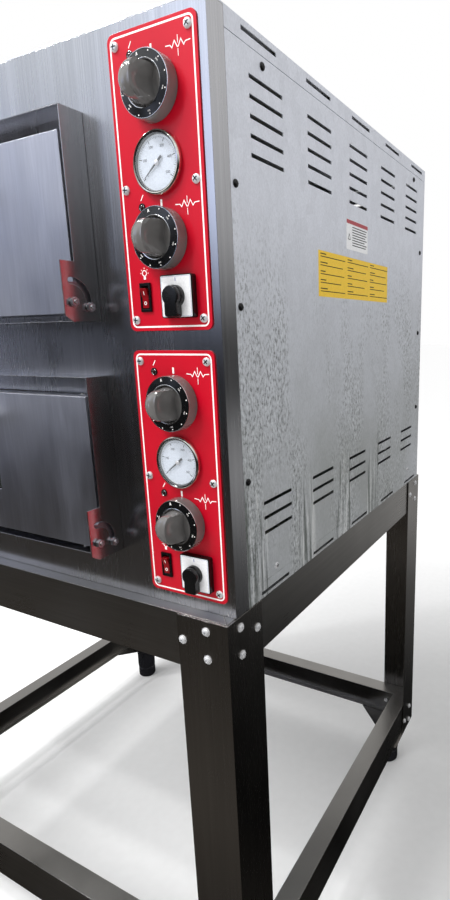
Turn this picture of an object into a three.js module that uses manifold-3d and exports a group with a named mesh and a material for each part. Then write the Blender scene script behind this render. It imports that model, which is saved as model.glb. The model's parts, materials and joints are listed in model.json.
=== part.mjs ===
// Two-deck electric pizza oven on its bolted steel stand.
// Millimetres, +Z up. The origin is on the floor, below the middle of the whole object.
// The doors face -Y, and the control panels are on the +X side of the front.

import * as THREE from 'three';
import { mergeVertices } from 'three/addons/utils/BufferGeometryUtils.js';
import Module from 'manifold-3d';

const wasm = await Module();
wasm.setup();

// Driving dimensions.
const GAP = 0.3; // clearance between pieces that touch
const SHEET = 1.5; // folded sheet of the cabinet and doors

const CABINET_WIDTH = 1060;
const CABINET_DEPTH = 849;
const CABINET_HEIGHT = 746;
const RIM_HEIGHT = 23.5; // slotted rims of the base pan and the top cover
const SIDE_RETURN = 32; // the front panel folds back this far along each side

const CHAMBER_X = -70; // middle of the chambers, left of the cabinet's middle
const CHAMBER_WIDTH = 700;
const CHAMBER_DEPTH = 700;
const MOUTH_HEIGHT = 150;
const FLOOR_SPACE = 24; // below the mouth's sill, for the stone and the floor element
const LOWER_SILL_Z = 132;
const DECK_PITCH = 332;
const WOOL = 50; // mineral wool around the chambers

const HOOD_WIDTH = 799;
const HOOD_HEIGHT = 259;
const HOOD_DEPTH = 37;
const HOOD_BELOW_SILL = 63;
const EAR_REACH = 59.5; // front edge of the hinge ears
const EAR_HEIGHT = 76;

const DOOR_WIDTH = 782;
const DOOR_HEIGHT = 221;
const DOOR_FACE_Y = -35;
const DOOR_BACK_Y = -4;
const DOOR_BELOW_SILL = 52;
const WINDOW_WIDTH = 360;
const WINDOW_HEIGHT = 90;
const PIVOT_Y = -46;
const PIVOT_ABOVE_DOOR = 14;
const GUIDE_RADIUS = 26.7; // from the pivot bolt to the guide bolt
const GUIDE_ANGLE = -13; // degrees from +Y towards +Z, with the door shut
const GUIDE_TRAVEL_END = 90; // the slot's upper end, in the same degrees
const HANDLE_LENGTH = 360;
const HANDLE_REACH = 52; // from the door's face to the front of the bar

const PANEL_WIDTH = 134;
const PANEL_HEIGHT = 344;
const PANEL_X = 450.5;
const LOWER_PANEL_Z = 190.5;
const PANEL_PITCH = 369;
const DIAL_DIAMETER = 74;
const NEEDLE_REST = 38; // degrees below level, to the left
const ROCKER_TILT = 9; // degrees to each side of level
const GLAND_X = 440;
const GLAND_Z = 70;

const STAND_HEIGHT = 865;
const STAND_DEPTH = 887;
const STAND_LEDGE = 22; // the stand's front face is this far ahead of the cabinet's
const LEG_FLANGE = 87;
const LEG_SHEET = 2.5;
const BEAM_HEIGHT = 84;
const RAIL_HEIGHT = 88;
const RAIL_TOP = 206;
const CHANNEL_FLANGE = 42;
const CHANNEL_LIP = 16;
const CHANNEL_SHEET = 2;
const FOOT_DIAMETER = 60;
const FOOT_INSET = 55;

const HALF_WIDTH = CABINET_WIDTH / 2;
const HANDLE_FRONT = DOOR_FACE_Y - HANDLE_REACH;
const OVERALL_DEPTH = STAND_DEPTH - STAND_LEDGE - HANDLE_FRONT;
const CABINET_FRONT_Y = -OVERALL_DEPTH / 2 - HANDLE_FRONT;
const CABINET_BOTTOM_Z = STAND_HEIGHT + GAP;
const STAND_MIDDLE_Y = CABINET_FRONT_Y - STAND_LEDGE + STAND_DEPTH / 2;

const material = (color, roughness, metalness) =>
  new THREE.MeshStandardMaterial({ color, roughness, metalness });
const brushedSteel = material(0xa9a8a6, 0.32, 1);
const darkSteel = material(0x5d5a57, 0.35, 1);
const galvanised = material(0xb3b6ba, 0.5, 0.9);
const chamberSteel = material(0x8d8578, 0.6, 0.8);
const redPanel = material(0xc8102a, 0.35, 0);
const greyPlastic = material(0x6a6a66, 0.45, 0);
const blackPlastic = material(0x121212, 0.4, 0);
const redPlastic = material(0x9c0b14, 0.3, 0);
const whiteDial = material(0xf2f2ee, 0.4, 0);
const stone = material(0xcbb795, 0.9, 0);
const mineralWool = material(0xbfb48c, 1, 0);
const elementMetal = material(0x4a443e, 0.5, 0.9);
const clearGlass = new THREE.MeshStandardMaterial({
  color: 0x2b2f31, roughness: 0.05, metalness: 0, transparent: true, opacity: 0.5,
});

// Solid helpers.
function toSolid(geometry) {
  const bare = geometry.clone();
  bare.deleteAttribute('normal');
  bare.deleteAttribute('uv');
  const merged = mergeVertices(bare, 1e-4);
  return new wasm.Manifold(new wasm.Mesh({
    numProp: 3,
    vertProperties: new Float32Array(merged.attributes.position.array),
    triVerts: new Uint32Array(merged.index.array),
  }));
}

function toGeometry(solid) {
  const mesh = solid.getMesh();
  const geometry = new THREE.BufferGeometry();
  geometry.setAttribute('position', new THREE.BufferAttribute(mesh.vertProperties, 3));
  geometry.setIndex(new THREE.BufferAttribute(mesh.triVerts, 1));
  geometry.computeVertexNormals();
  return geometry;
}

function unite(...geometries) {
  return toGeometry(geometries.map(toSolid).reduce((sum, next) => sum.add(next)));
}

function cut(geometry, tools) {
  return toGeometry(tools.map(toSolid).reduce((rest, tool) => rest.subtract(tool), toSolid(geometry)));
}

// A box from its lowest to its highest corner.
function block([x0, y0, z0], [x1, y1, z1]) {
  return new THREE.BoxGeometry(x1 - x0, y1 - y0, z1 - z0)
    .translate((x0 + x1) / 2, (y0 + y1) / 2, (z0 + z1) / 2);
}

// A round bar along Y, from y0 to y1.
function barY(x, z, y0, y1, radius, sides = 24) {
  return new THREE.CylinderGeometry(radius, radius, y1 - y0, sides).translate(x, (y0 + y1) / 2, z);
}

// A round bar along X, from x0 to x1.
function barX(y, z, x0, x1, radius, sides = 16) {
  return new THREE.CylinderGeometry(radius, radius, x1 - x0, sides)
    .rotateZ(Math.PI / 2).translate((x0 + x1) / 2, y, z);
}

// An outline in the YZ plane made into a plate from x0 to x1.
function plateYZ(shape, x0, x1) {
  return new THREE.ExtrudeGeometry(shape, { depth: x1 - x0, bevelEnabled: false, curveSegments: 6 })
    .rotateX(Math.PI / 2).rotateZ(Math.PI / 2).translate(x0, 0, 0);
}

// An outline in the XZ plane made into a plate from y0 to y1.
function plateXZ(shape, y0, y1) {
  return new THREE.ExtrudeGeometry(shape, { depth: y1 - y0, bevelEnabled: false, curveSegments: 4 })
    .rotateX(Math.PI / 2).translate(0, y1, 0);
}

function roundedRectangle(cx, cy, width, height, radius) {
  const [x0, x1, y0, y1] = [cx - width / 2, cx + width / 2, cy - height / 2, cy + height / 2];
  const shape = new THREE.Shape();
  shape.moveTo(x0 + radius, y0);
  shape.lineTo(x1 - radius, y0);
  shape.absarc(x1 - radius, y0 + radius, radius, -Math.PI / 2, 0);
  shape.lineTo(x1, y1 - radius);
  shape.absarc(x1 - radius, y1 - radius, radius, 0, Math.PI / 2);
  shape.lineTo(x0 + radius, y1);
  shape.absarc(x0 + radius, y1 - radius, radius, Math.PI / 2, Math.PI);
  shape.lineTo(x0, y0 + radius);
  shape.absarc(x0 + radius, y0 + radius, radius, Math.PI, Math.PI * 1.5);
  return shape;
}

// A turned piece on an axis along Y. The profile's points are [radius, y], from front to back.
function turnedY(profile, segments = 32) {
  const points = profile.map(([radius, y]) => new THREE.Vector2(radius, y));
  return new THREE.LatheGeometry([...points, points[0]], segments);
}

// A rod of round section along a path that stays in a plane facing along `normal`.
function rod(points, radius, normal, sides = 6) {
  const positions = [];
  const triangles = [];
  points.forEach((point, i) => {
    const before = points[Math.max(i - 1, 0)];
    const after = points[Math.min(i + 1, points.length - 1)];
    const into = point.clone().sub(before).normalize();
    const along = after.clone().sub(before).normalize();
    const mitre = i > 0 && i < points.length - 1 ? 1 / Math.max(into.dot(along), 0.5) : 1;
    const across = along.clone().cross(normal).normalize();
    for (let k = 0; k < sides; k += 1) {
      const angle = (2 * Math.PI * k) / sides;
      const corner = point.clone()
        .addScaledVector(across, radius * mitre * Math.cos(angle))
        .addScaledVector(normal, radius * Math.sin(angle));
      positions.push(corner.x, corner.y, corner.z);
    }
  });
  for (let i = 0; i < points.length - 1; i += 1) {
    for (let k = 0; k < sides; k += 1) {
      const a = i * sides + k;
      const b = i * sides + ((k + 1) % sides);
      triangles.push(a, a + sides, b, b, a + sides, b + sides);
    }
  }
  const last = (points.length - 1) * sides;
  for (let k = 1; k < sides - 1; k += 1) {
    triangles.push(0, k, k + 1, last, last + k + 1, last + k);
  }
  const geometry = new THREE.BufferGeometry();
  geometry.setAttribute('position', new THREE.Float32BufferAttribute(positions, 3));
  geometry.setIndex(triangles);
  geometry.computeVertexNormals();
  return geometry;
}

function arcPoints(centre, radius, from, to, steps, toVector) {
  return Array.from({ length: steps + 1 }, (_, i) => {
    const angle = THREE.MathUtils.degToRad(from + ((to - from) * i) / steps);
    return toVector(centre[0] + radius * Math.cos(angle), centre[1] + radius * Math.sin(angle));
  });
}

const oven = new THREE.Group();
const cabinet = new THREE.Group(); // its origin: middle of the front panel's bottom edge
cabinet.position.set(0, CABINET_FRONT_Y, CABINET_BOTTOM_Z);
const stand = new THREE.Group(); // its origin: on the floor, below the stand's middle
stand.position.set(0, STAND_MIDDLE_Y, 0);
oven.add(cabinet, stand);

function add(parent, name, geometry, meshMaterial) {
  const mesh = new THREE.Mesh(geometry, meshMaterial);
  mesh.name = name;
  parent.add(mesh);
  return mesh;
}

const DECKS = [
  { name: 'lower', sillZ: LOWER_SILL_Z, panelZ: LOWER_PANEL_Z },
  { name: 'upper', sillZ: LOWER_SILL_Z + DECK_PITCH, panelZ: LOWER_PANEL_Z + PANEL_PITCH },
];

// Where each control sits on its panel, from the panel's middle.
const DIALS = { roof: [0, 104], floor: [0, -62] };
const GAUGE = [0, 24];
const ROCKER = [-35.5, -130];
const CAM_SWITCH = [21, -131];
const SHAFT_HOLE = 5;
const GAUGE_HOLE = 30;
const ROCKER_HOLE = [15, 31];

function controlHoles(panelZ, y0, y1) {
  const at = ([x, z]) => [PANEL_X + x, panelZ + z];
  const rounds = [...Object.values(DIALS).map((place) => [...at(place), SHAFT_HOLE]),
    [...at(GAUGE), GAUGE_HOLE], [...at(CAM_SWITCH), SHAFT_HOLE]];
  const [rx, rz] = at(ROCKER);
  return [
    ...rounds.map(([x, z, radius]) => barY(x, z, y0, y1, radius, 14)),
    block([rx - ROCKER_HOLE[0] / 2, y0, rz - ROCKER_HOLE[1] / 2],
      [rx + ROCKER_HOLE[0] / 2, y1, rz + ROCKER_HOLE[1] / 2]),
  ];
}

// Vent slots: five columns along the depth, each with rows of long narrow slots.
const SLOT_COLUMNS = 5;
const SLOT_LENGTH = 83;
const SLOT_WIDTH = 5.5;
const SLOT_ROW_PITCH = 22.3;
const SIDE_SLOTS = { firstY: 81, pitchY: 156.2 };
const RIM_SLOTS = { firstY: 67, pitchY: 168.5 };
const BASE_SLOT_Z = 7;
const COVER_SLOT_Z = CABINET_HEIGHT - 10;

function ventSlots(x0, x1, rowHeights, { firstY, pitchY }) {
  return rowHeights.flatMap((z) => Array.from({ length: SLOT_COLUMNS }, (_, i) => {
    const y = firstY + i * pitchY;
    return block([x0, y, z - SLOT_WIDTH / 2], [x1, y + SLOT_LENGTH, z + SLOT_WIDTH / 2]);
  }));
}

function rowsDown(firstZ, count) {
  return Array.from({ length: count }, (_, i) => firstZ - i * SLOT_ROW_PITCH);
}

function frontPanel() {
  const top = CABINET_HEIGHT - SHEET - GAP;
  const face = block([-HALF_WIDTH, 0, 0], [HALF_WIDTH, SHEET, top]);
  const returns = [-1, 1].map((side) => block(
    [Math.min(side * HALF_WIDTH, side * (HALF_WIDTH - SHEET)), 0, 0],
    [Math.max(side * HALF_WIDTH, side * (HALF_WIDTH - SHEET)), SIDE_RETURN, top],
  ));
  const mouths = DECKS.map(({ sillZ }) => block(
    [CHAMBER_X - CHAMBER_WIDTH / 2, -SHEET, sillZ],
    [CHAMBER_X + CHAMBER_WIDTH / 2, 2 * SHEET, sillZ + MOUTH_HEIGHT],
  ));
  const holes = DECKS.flatMap(({ panelZ }) => controlHoles(panelZ, -SHEET, 2 * SHEET));
  return cut(unite(face, ...returns), [...mouths, ...holes]);
}

function sidePanel(side) {
  const [bottom, top] = [RIM_HEIGHT + GAP, CABINET_HEIGHT - RIM_HEIGHT - 1];
  const [front, back] = [SIDE_RETURN + GAP, CABINET_DEPTH];
  const [outer, inner] = [HALF_WIDTH, HALF_WIDTH - SHEET];
  const flange = 14;
  const body = unite(
    block([inner, front, bottom], [outer, back, top]),
    block([inner - flange, front, bottom], [outer - SHEET / 2, front + SHEET, top]),
    block([inner - flange, back - SHEET, bottom], [outer - SHEET / 2, back, top]),
  );
  const rows = [...rowsDown(690, 5), ...rowsDown(142, 3)];
  const slotted = cut(body, ventSlots(inner - SHEET, outer + SHEET, rows, SIDE_SLOTS));
  return side > 0 ? slotted : mirrorX(slotted);
}

function mirrorX(geometry) {
  return toGeometry(toSolid(geometry).mirror([1, 0, 0]));
}

function rearPanel() {
  const halfWidth = HALF_WIDTH - SHEET - 15 - GAP;
  const back = CABINET_DEPTH;
  const plate = block([-halfWidth, back - SHEET, RIM_HEIGHT + GAP],
    [halfWidth, back, CABINET_HEIGHT - RIM_HEIGHT - 1]);
  const slots = [];
  for (const columnX of [-330, -110, 110, 330]) {
    for (const z of [...rowsDown(690, 4), ...rowsDown(120, 2)]) {
      slots.push(block([columnX - 60, back - 2 * SHEET, z - SLOT_WIDTH / 2],
        [columnX + 60, back + SHEET, z + SLOT_WIDTH / 2]));
    }
  }
  return cut(plate, [...slots, barY(GLAND_X, GLAND_Z, back - 2 * SHEET, back + SHEET, 11, 16)]);
}

// A shallow tray with rims on the left, right and rear, used upright and upside down.
function tray(fromZ, toZ, rimFromZ, rimToZ, slotZ) {
  const front = SIDE_RETURN + GAP;
  const plate = block([-HALF_WIDTH, front, fromZ], [HALF_WIDTH, CABINET_DEPTH, toZ]);
  const rims = [
    block([HALF_WIDTH - SHEET, front, rimFromZ], [HALF_WIDTH, CABINET_DEPTH, rimToZ]),
    block([-HALF_WIDTH, front, rimFromZ], [SHEET - HALF_WIDTH, CABINET_DEPTH, rimToZ]),
    block([-HALF_WIDTH, CABINET_DEPTH - SHEET, rimFromZ], [HALF_WIDTH, CABINET_DEPTH, rimToZ]),
  ];
  const inner = HALF_WIDTH - 2 * SHEET;
  const slots = [...ventSlots(inner, HALF_WIDTH + SHEET, [slotZ], RIM_SLOTS),
    ...ventSlots(-HALF_WIDTH - SHEET, -inner, [slotZ], RIM_SLOTS)];
  return cut(unite(plate, ...rims), slots);
}

function basePan() {
  const front = SHEET + GAP;
  const apron = block([SHEET + GAP - HALF_WIDTH, front, 0],
    [HALF_WIDTH - SHEET - GAP, SIDE_RETURN + 2, SHEET]);
  return unite(tray(0, SHEET, 0, RIM_HEIGHT, BASE_SLOT_Z), apron);
}

function topCover() {
  const top = CABINET_HEIGHT;
  const apron = block([-HALF_WIDTH, 0, top - SHEET], [HALF_WIDTH, SIDE_RETURN + 2, top]);
  return unite(tray(top - SHEET, top, top - RIM_HEIGHT, top, COVER_SLOT_Z), apron);
}

const ELEMENT_ROWS = 6;
const ELEMENT_RADIUS = 4;
const ELEMENT_HALF_SPAN = 290;
const TERMINAL_REACH = 34;
const LINER_FRONT = SHEET + GAP;
const LINER_BACK = LINER_FRONT + CHAMBER_DEPTH + SHEET;

// Heights of the heating elements' middles, from the mouth's sill.
const ELEMENT_HEIGHTS = { floor: 5 - FLOOR_SPACE, roof: MOUTH_HEIGHT - 16 };

function terminalHoles(sillZ, y0, y1) {
  return Object.values(ELEMENT_HEIGHTS).flatMap((height) => [-1, 1].map((side) => barY(
    CHAMBER_X + side * ELEMENT_HALF_SPAN, sillZ + height, y0, y1, ELEMENT_RADIUS + 1.5, 12,
  )));
}

function chamberLiner(sillZ) {
  const [left, right] = [CHAMBER_X - CHAMBER_WIDTH / 2, CHAMBER_X + CHAMBER_WIDTH / 2];
  const [floor, roof] = [sillZ - FLOOR_SPACE, sillZ + MOUTH_HEIGHT];
  const outer = block([left - SHEET, LINER_FRONT, floor - SHEET], [right + SHEET, LINER_BACK, roof + SHEET]);
  const inside = block([left, 0, floor], [right, LINER_BACK - SHEET, roof]);
  return cut(outer, [inside, ...terminalHoles(sillZ, LINER_BACK - 2 * SHEET, LINER_BACK + SHEET)]);
}

function bakingStone(sillZ) {
  const halfWidth = CHAMBER_WIDTH / 2 - 2;
  const [front, back] = [LINER_FRONT + 2, LINER_FRONT + CHAMBER_DEPTH - 8];
  const floor = sillZ - FLOOR_SPACE + GAP;
  const slab = block([CHAMBER_X - halfWidth, front, floor], [CHAMBER_X + halfWidth, back, sillZ]);
  const recess = block([CHAMBER_X - halfWidth + 14, front + 14, floor - 1],
    [CHAMBER_X + halfWidth - 14, back + 1, sillZ - 14]);
  return cut(slab, [recess]);
}

// A serpentine rod: rows along Y joined by round bends, both ends out through the rear wall.
function heatingElement(sillZ, height) {
  const z = sillZ + height;
  const spacing = (2 * ELEMENT_HALF_SPAN) / (ELEMENT_ROWS - 1);
  const bend = spacing / 2;
  const [nearY, farY] = [LINER_FRONT + 40 + bend, LINER_BACK - 60 - bend];
  const toVector = (x, y) => new THREE.Vector3(x, y, z);
  const path = [toVector(CHAMBER_X - ELEMENT_HALF_SPAN, LINER_BACK + TERMINAL_REACH)];
  for (let row = 0; row < ELEMENT_ROWS - 1; row += 1) {
    const middle = CHAMBER_X - ELEMENT_HALF_SPAN + (row + 0.5) * spacing;
    const atFront = row % 2 === 0;
    const centre = [middle, atFront ? nearY : farY];
    path.push(...arcPoints(centre, bend, 180, atFront ? 360 : 0, 6, toVector));
  }
  path.push(toVector(CHAMBER_X + ELEMENT_HALF_SPAN, LINER_BACK + TERMINAL_REACH));
  return rod(path, ELEMENT_RADIUS, new THREE.Vector3(0, 0, 1));
}

// One block of wool around both chambers, open at the front where the chambers slide in.
function insulation() {
  const [left, right] = [CHAMBER_X - CHAMBER_WIDTH / 2 - WOOL, CHAMBER_X + CHAMBER_WIDTH / 2 + WOOL];
  const lowest = LOWER_SILL_Z - FLOOR_SPACE - WOOL;
  const highest = LOWER_SILL_Z + DECK_PITCH + MOUTH_HEIGHT + WOOL;
  const back = LINER_BACK + WOOL;
  const body = block([left, LINER_FRONT, lowest], [right, back, highest]);
  const room = SHEET + GAP;
  const cavities = DECKS.map(({ sillZ }) => block(
    [left + WOOL - room, 0, sillZ - FLOOR_SPACE - room],
    [right - WOOL + room, LINER_BACK + GAP, sillZ + MOUTH_HEIGHT + room],
  ));
  const holes = DECKS.flatMap(({ sillZ }) => terminalHoles(sillZ, LINER_BACK - 1, back + 1));
  return cut(body, [...cavities, ...holes]);
}

// The round-ended slot in a hood's cheek that the guide bolt follows as the door opens.
function guideSlot(pivotZ) {
  const halfWidth = 4.5;
  const start = THREE.MathUtils.degToRad(GUIDE_ANGLE - 1);
  const end = THREE.MathUtils.degToRad(GUIDE_TRAVEL_END);
  const endMiddle = (angle) => [
    PIVOT_Y + GUIDE_RADIUS * Math.cos(angle), pivotZ + GUIDE_RADIUS * Math.sin(angle),
  ];
  const slot = new THREE.Shape();
  slot.absarc(PIVOT_Y, pivotZ, GUIDE_RADIUS + halfWidth, start, end);
  slot.absarc(...endMiddle(end), halfWidth, end, end + Math.PI);
  slot.absarc(PIVOT_Y, pivotZ, GUIDE_RADIUS - halfWidth, end, start, true);
  slot.absarc(...endMiddle(start), halfWidth, start + Math.PI, start + 2 * Math.PI);
  return slot;
}

// The frame around a door, with two ears that carry the hinge bolts.
function doorHood(sillZ) {
  const bottom = sillZ - HOOD_BELOW_SILL;
  const top = bottom + HOOD_HEIGHT;
  const half = HOOD_WIDTH / 2;
  const back = -GAP;
  const plates = [bottom, top - SHEET].map((z) => block(
    [CHAMBER_X - half, -HOOD_DEPTH, z], [CHAMBER_X + half, back, z + SHEET],
  ));
  const cheek = new THREE.Shape();
  cheek.moveTo(back, bottom);
  cheek.lineTo(-EAR_REACH + 12, bottom);
  cheek.lineTo(-EAR_REACH, bottom + 8);
  cheek.lineTo(-EAR_REACH, bottom + EAR_HEIGHT);
  cheek.lineTo(-HOOD_DEPTH, bottom + EAR_HEIGHT);
  cheek.lineTo(-HOOD_DEPTH, top);
  cheek.lineTo(back, top);
  const pivotZ = sillZ - DOOR_BELOW_SILL + PIVOT_ABOVE_DOOR;
  const slot = guideSlot(pivotZ);
  const cheeks = [-1, 1].map((side) => {
    const outer = CHAMBER_X + side * half;
    const [x0, x1] = [Math.min(outer, outer - side * SHEET), Math.max(outer, outer - side * SHEET)];
    const openings = [plateYZ(slot, x0 - 1, x1 + 1), barX(PIVOT_Y, pivotZ, x0 - 1, x1 + 1, 5)];
    return cut(plateYZ(cheek, x0, x1), openings);
  });
  return unite(...plates, ...cheeks);
}

function windowBlock(sillZ, y0, y1, grow) {
  const middle = doorMiddleZ(sillZ);
  return block(
    [CHAMBER_X - WINDOW_WIDTH / 2 - grow, y0, middle - WINDOW_HEIGHT / 2 - grow],
    [CHAMBER_X + WINDOW_WIDTH / 2 + grow, y1, middle + WINDOW_HEIGHT / 2 + grow],
  );
}

function doorMiddleZ(sillZ) {
  return sillZ - DOOR_BELOW_SILL + DOOR_HEIGHT / 2;
}

// The door's outer skin with its side plates, pivot bolts and guide bolts.
function doorOuter(sillZ) {
  const bottom = sillZ - DOOR_BELOW_SILL;
  const half = DOOR_WIDTH / 2;
  const [left, right, top] = [CHAMBER_X - half, CHAMBER_X + half, bottom + DOOR_HEIGHT];
  const backEdge = DOOR_BACK_Y - SHEET - GAP;
  const skin = cut(block([left, DOOR_FACE_Y, bottom], [right, backEdge, top]), [
    block([left + SHEET, DOOR_FACE_Y + SHEET, bottom + SHEET], [right - SHEET, backEdge + 1, top - SHEET]),
    windowBlock(sillZ, DOOR_FACE_Y - 1, DOOR_FACE_Y + 2 * SHEET, 0),
  ]);
  const pivotZ = bottom + PIVOT_ABOVE_DOOR;
  const guide = THREE.MathUtils.degToRad(GUIDE_ANGLE);
  const guideY = PIVOT_Y + GUIDE_RADIUS * Math.cos(guide);
  const guideZ = pivotZ + GUIDE_RADIUS * Math.sin(guide);
  const hinges = [-1, 1].flatMap((side) => {
    const face = CHAMBER_X + side * half;
    const hoodFace = CHAMBER_X + (side * HOOD_WIDTH) / 2;
    const along = (a, b) => [Math.min(face + side * a, face + side * b), Math.max(face + side * a, face + side * b)];
    const reach = Math.abs(hoodFace - face);
    const [p0, p1] = along(-0.5, 3);
    const plate = block([p0, PIVOT_Y - 8, bottom + 2], [p1, backEdge - 2, bottom + 40]);
    const bolt = (y, z, shank, head) => [
      barX(y, z, ...along(2, reach + 3), shank),
      barX(y, z, ...along(reach + 1, reach + 6), head, 6),
    ];
    return [plate, ...bolt(PIVOT_Y, pivotZ, 4, 6.2), ...bolt(guideY, guideZ, 3.5, 6.2)];
  });
  return unite(skin, ...hinges);
}

// The door's inner tray, with a sleeve that holds the window glass against the outer skin.
function doorInner(sillZ) {
  const bottom = sillZ - DOOR_BELOW_SILL;
  const half = DOOR_WIDTH / 2;
  const inset = SHEET + GAP;
  const front = DOOR_BACK_Y - 24;
  const plate = block([CHAMBER_X - half, DOOR_BACK_Y - SHEET, bottom],
    [CHAMBER_X + half, DOOR_BACK_Y, bottom + DOOR_HEIGHT]);
  const rimOuter = block([CHAMBER_X - half + inset, front, bottom + inset],
    [CHAMBER_X + half - inset, DOOR_BACK_Y - SHEET / 2, bottom + DOOR_HEIGHT - inset]);
  const deep = inset + SHEET;
  const rimInner = block([CHAMBER_X - half + deep, front - 1, bottom + deep],
    [CHAMBER_X + half - deep, DOOR_BACK_Y - SHEET, bottom + DOOR_HEIGHT - deep]);
  const sleeve = windowBlock(sillZ, front, DOOR_BACK_Y - SHEET / 2, SHEET);
  const body = unite(plate, cut(rimOuter, [rimInner]), sleeve);
  return cut(body, [windowBlock(sillZ, front - 1, DOOR_BACK_Y + 1, 0)]);
}

function doorWindow(sillZ) {
  return windowBlock(sillZ, DOOR_FACE_Y + SHEET + GAP, DOOR_BACK_Y - 24 - GAP, 12);
}

// A bar with two bent ends that stand on the door's face.
function doorHandle(sillZ) {
  const z = sillZ - DOOR_BELOW_SILL + DOOR_HEIGHT - 38;
  const radius = 10;
  const bend = 20;
  const half = HANDLE_LENGTH / 2 - radius;
  const barMiddle = HANDLE_FRONT + radius;
  const toVector = (x, y) => new THREE.Vector3(x, y, z);
  const path = [
    toVector(CHAMBER_X - half, DOOR_FACE_Y - GAP),
    ...arcPoints([CHAMBER_X - half + bend, barMiddle + bend], bend, 180, 270, 5, toVector),
    ...arcPoints([CHAMBER_X + half - bend, barMiddle + bend], bend, 270, 360, 5, toVector),
    toVector(CHAMBER_X + half, DOOR_FACE_Y - GAP),
  ];
  return rod(path, radius, new THREE.Vector3(0, 0, 1), 12);
}

const PANEL_BACK = -GAP;
const PANEL_FRONT = PANEL_BACK - SHEET;
const CAM_PLATE_FRONT = PANEL_FRONT - 9;

function controlPanel(panelZ) {
  const outline = roundedRectangle(PANEL_X, panelZ, PANEL_WIDTH, PANEL_HEIGHT, 9);
  return cut(plateXZ(outline, PANEL_FRONT, PANEL_BACK), controlHoles(panelZ, -2 * SHEET - 1, 1));
}

// A skirted dial knob: scale ring, hollowed middle, domed grip with a thumb scoop, and a shaft.
function thermostatKnob() {
  const radius = DIAL_DIAMETER / 2;
  const base = PANEL_FRONT - 0.5;
  const ring = base - 16;
  const body = turnedY([
    [0, ring + 7], [21, ring + 5], [24, ring - 1], [26, ring - 1.5], [radius - 1.2, ring],
    [radius - 0.6, ring + 0.8], [radius, base], [3, base], [3, 12], [0, 12],
  ], 28);
  const dome = turnedY([
    [0, ring - 27.5], [7, ring - 27], [12.5, ring - 25], [16, ring - 21.5], [17.8, ring - 16],
    [23, ring + 1], [20, ring + 8], [0, ring + 8],
  ], 28);
  const scoop = new THREE.Shape();
  scoop.moveTo(40, -24);
  for (let z = -24; z <= 24; z += 6) scoop.lineTo(7.8 + 0.018 * z * z, z);
  scoop.lineTo(40, 24);
  return unite(body, cut(dome, [plateXZ(scoop, ring - 40, base - 4)]));
}

function gaugeBody() {
  const front = PANEL_FRONT - 7;
  return turnedY([
    [0, front + 4.5], [31, front + 4.5], [32.5, front], [35, front], [36.3, front + 2],
    [36.3, PANEL_FRONT - GAP], [29, PANEL_FRONT - GAP], [29, 30], [26, 34], [0, 34],
  ], 28);
}

// The pointer at its zero mark, low on the left, with the hub on the gauge's axis.
function gaugeNeedle() {
  const face = PANEL_FRONT - 2.5;
  const pointer = new THREE.Shape();
  pointer.moveTo(-9, -1.6);
  pointer.lineTo(24, -0.4);
  pointer.lineTo(24, 0.4);
  pointer.lineTo(-9, 1.6);
  const needle = plateXZ(pointer, face - 2.4, face - 1.4);
  const hub = barY(0, 0, face - 3.2, face - 0.4, 3.5, 16);
  return unite(needle, hub).rotateY(THREE.MathUtils.degToRad(180 - NEEDLE_REST));
}

function rockerFrame() {
  const front = PANEL_FRONT - 2.5;
  const flange = block([-9, front, -18], [9, PANEL_FRONT - GAP, 18]);
  const body = block([-7, PANEL_FRONT - 1, -15], [7, 22, 15]);
  return cut(unite(flange, body), [block([-5.8, front - 1, -14.2], [5.8, 12, 14.2])]);
}

// The tilting cap: a shallow V, at rest with its lower half pressed in.
function rockerCap() {
  const cap = new THREE.Shape();
  cap.moveTo(-6.6, 12.6);
  cap.lineTo(-4.6, 0);
  cap.lineTo(-6.6, -12.6);
  cap.lineTo(1, -11);
  cap.lineTo(4, 0);
  cap.lineTo(1, 11);
  return plateYZ(cap, -5.2, 5.2).rotateX(THREE.MathUtils.degToRad(ROCKER_TILT));
}

function camPlate() {
  const outline = roundedRectangle(0, 0, 50, 52, 3);
  return cut(plateXZ(outline, CAM_PLATE_FRONT, PANEL_FRONT - GAP), [barY(0, 0, -20, 0, SHAFT_HOLE, 14)]);
}

// A round boss with a grip that points down at rest, on a shaft through the plate.
function camKnob() {
  const base = CAM_PLATE_FRONT - 0.5;
  const disc = barY(0, 0, base - 7, base, 13.5, 24);
  const shaft = barY(0, 0, base - 1, 12, 3, 12);
  const grip = plateXZ(roundedRectangle(0, -6.5, 19, 37, 8), base - 13, base - 4);
  return unite(disc, shaft, grip);
}

function cableGland() {
  const back = CABINET_DEPTH;
  return turnedY([
    [7, back - 10], [10, back - 10], [10, back + GAP], [17, back + GAP], [17, back + 6],
    [14, back + 7], [14, back + 10], [10, back + 14], [7, back + 14],
  ], 16);
}

function addCabinet() {
  add(cabinet, 'front_panel', frontPanel(), brushedSteel);
  add(cabinet, 'right_side_panel', sidePanel(1), galvanised);
  add(cabinet, 'left_side_panel', sidePanel(-1), galvanised);
  add(cabinet, 'rear_panel', rearPanel(), galvanised);
  add(cabinet, 'base_pan', basePan(), galvanised);
  add(cabinet, 'top_cover', topCover(), galvanised);
  add(cabinet, 'insulation_wool', insulation(), mineralWool);
  add(cabinet, 'cable_gland', cableGland(), blackPlastic).position.set(GLAND_X, 0, GLAND_Z);
}

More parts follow.
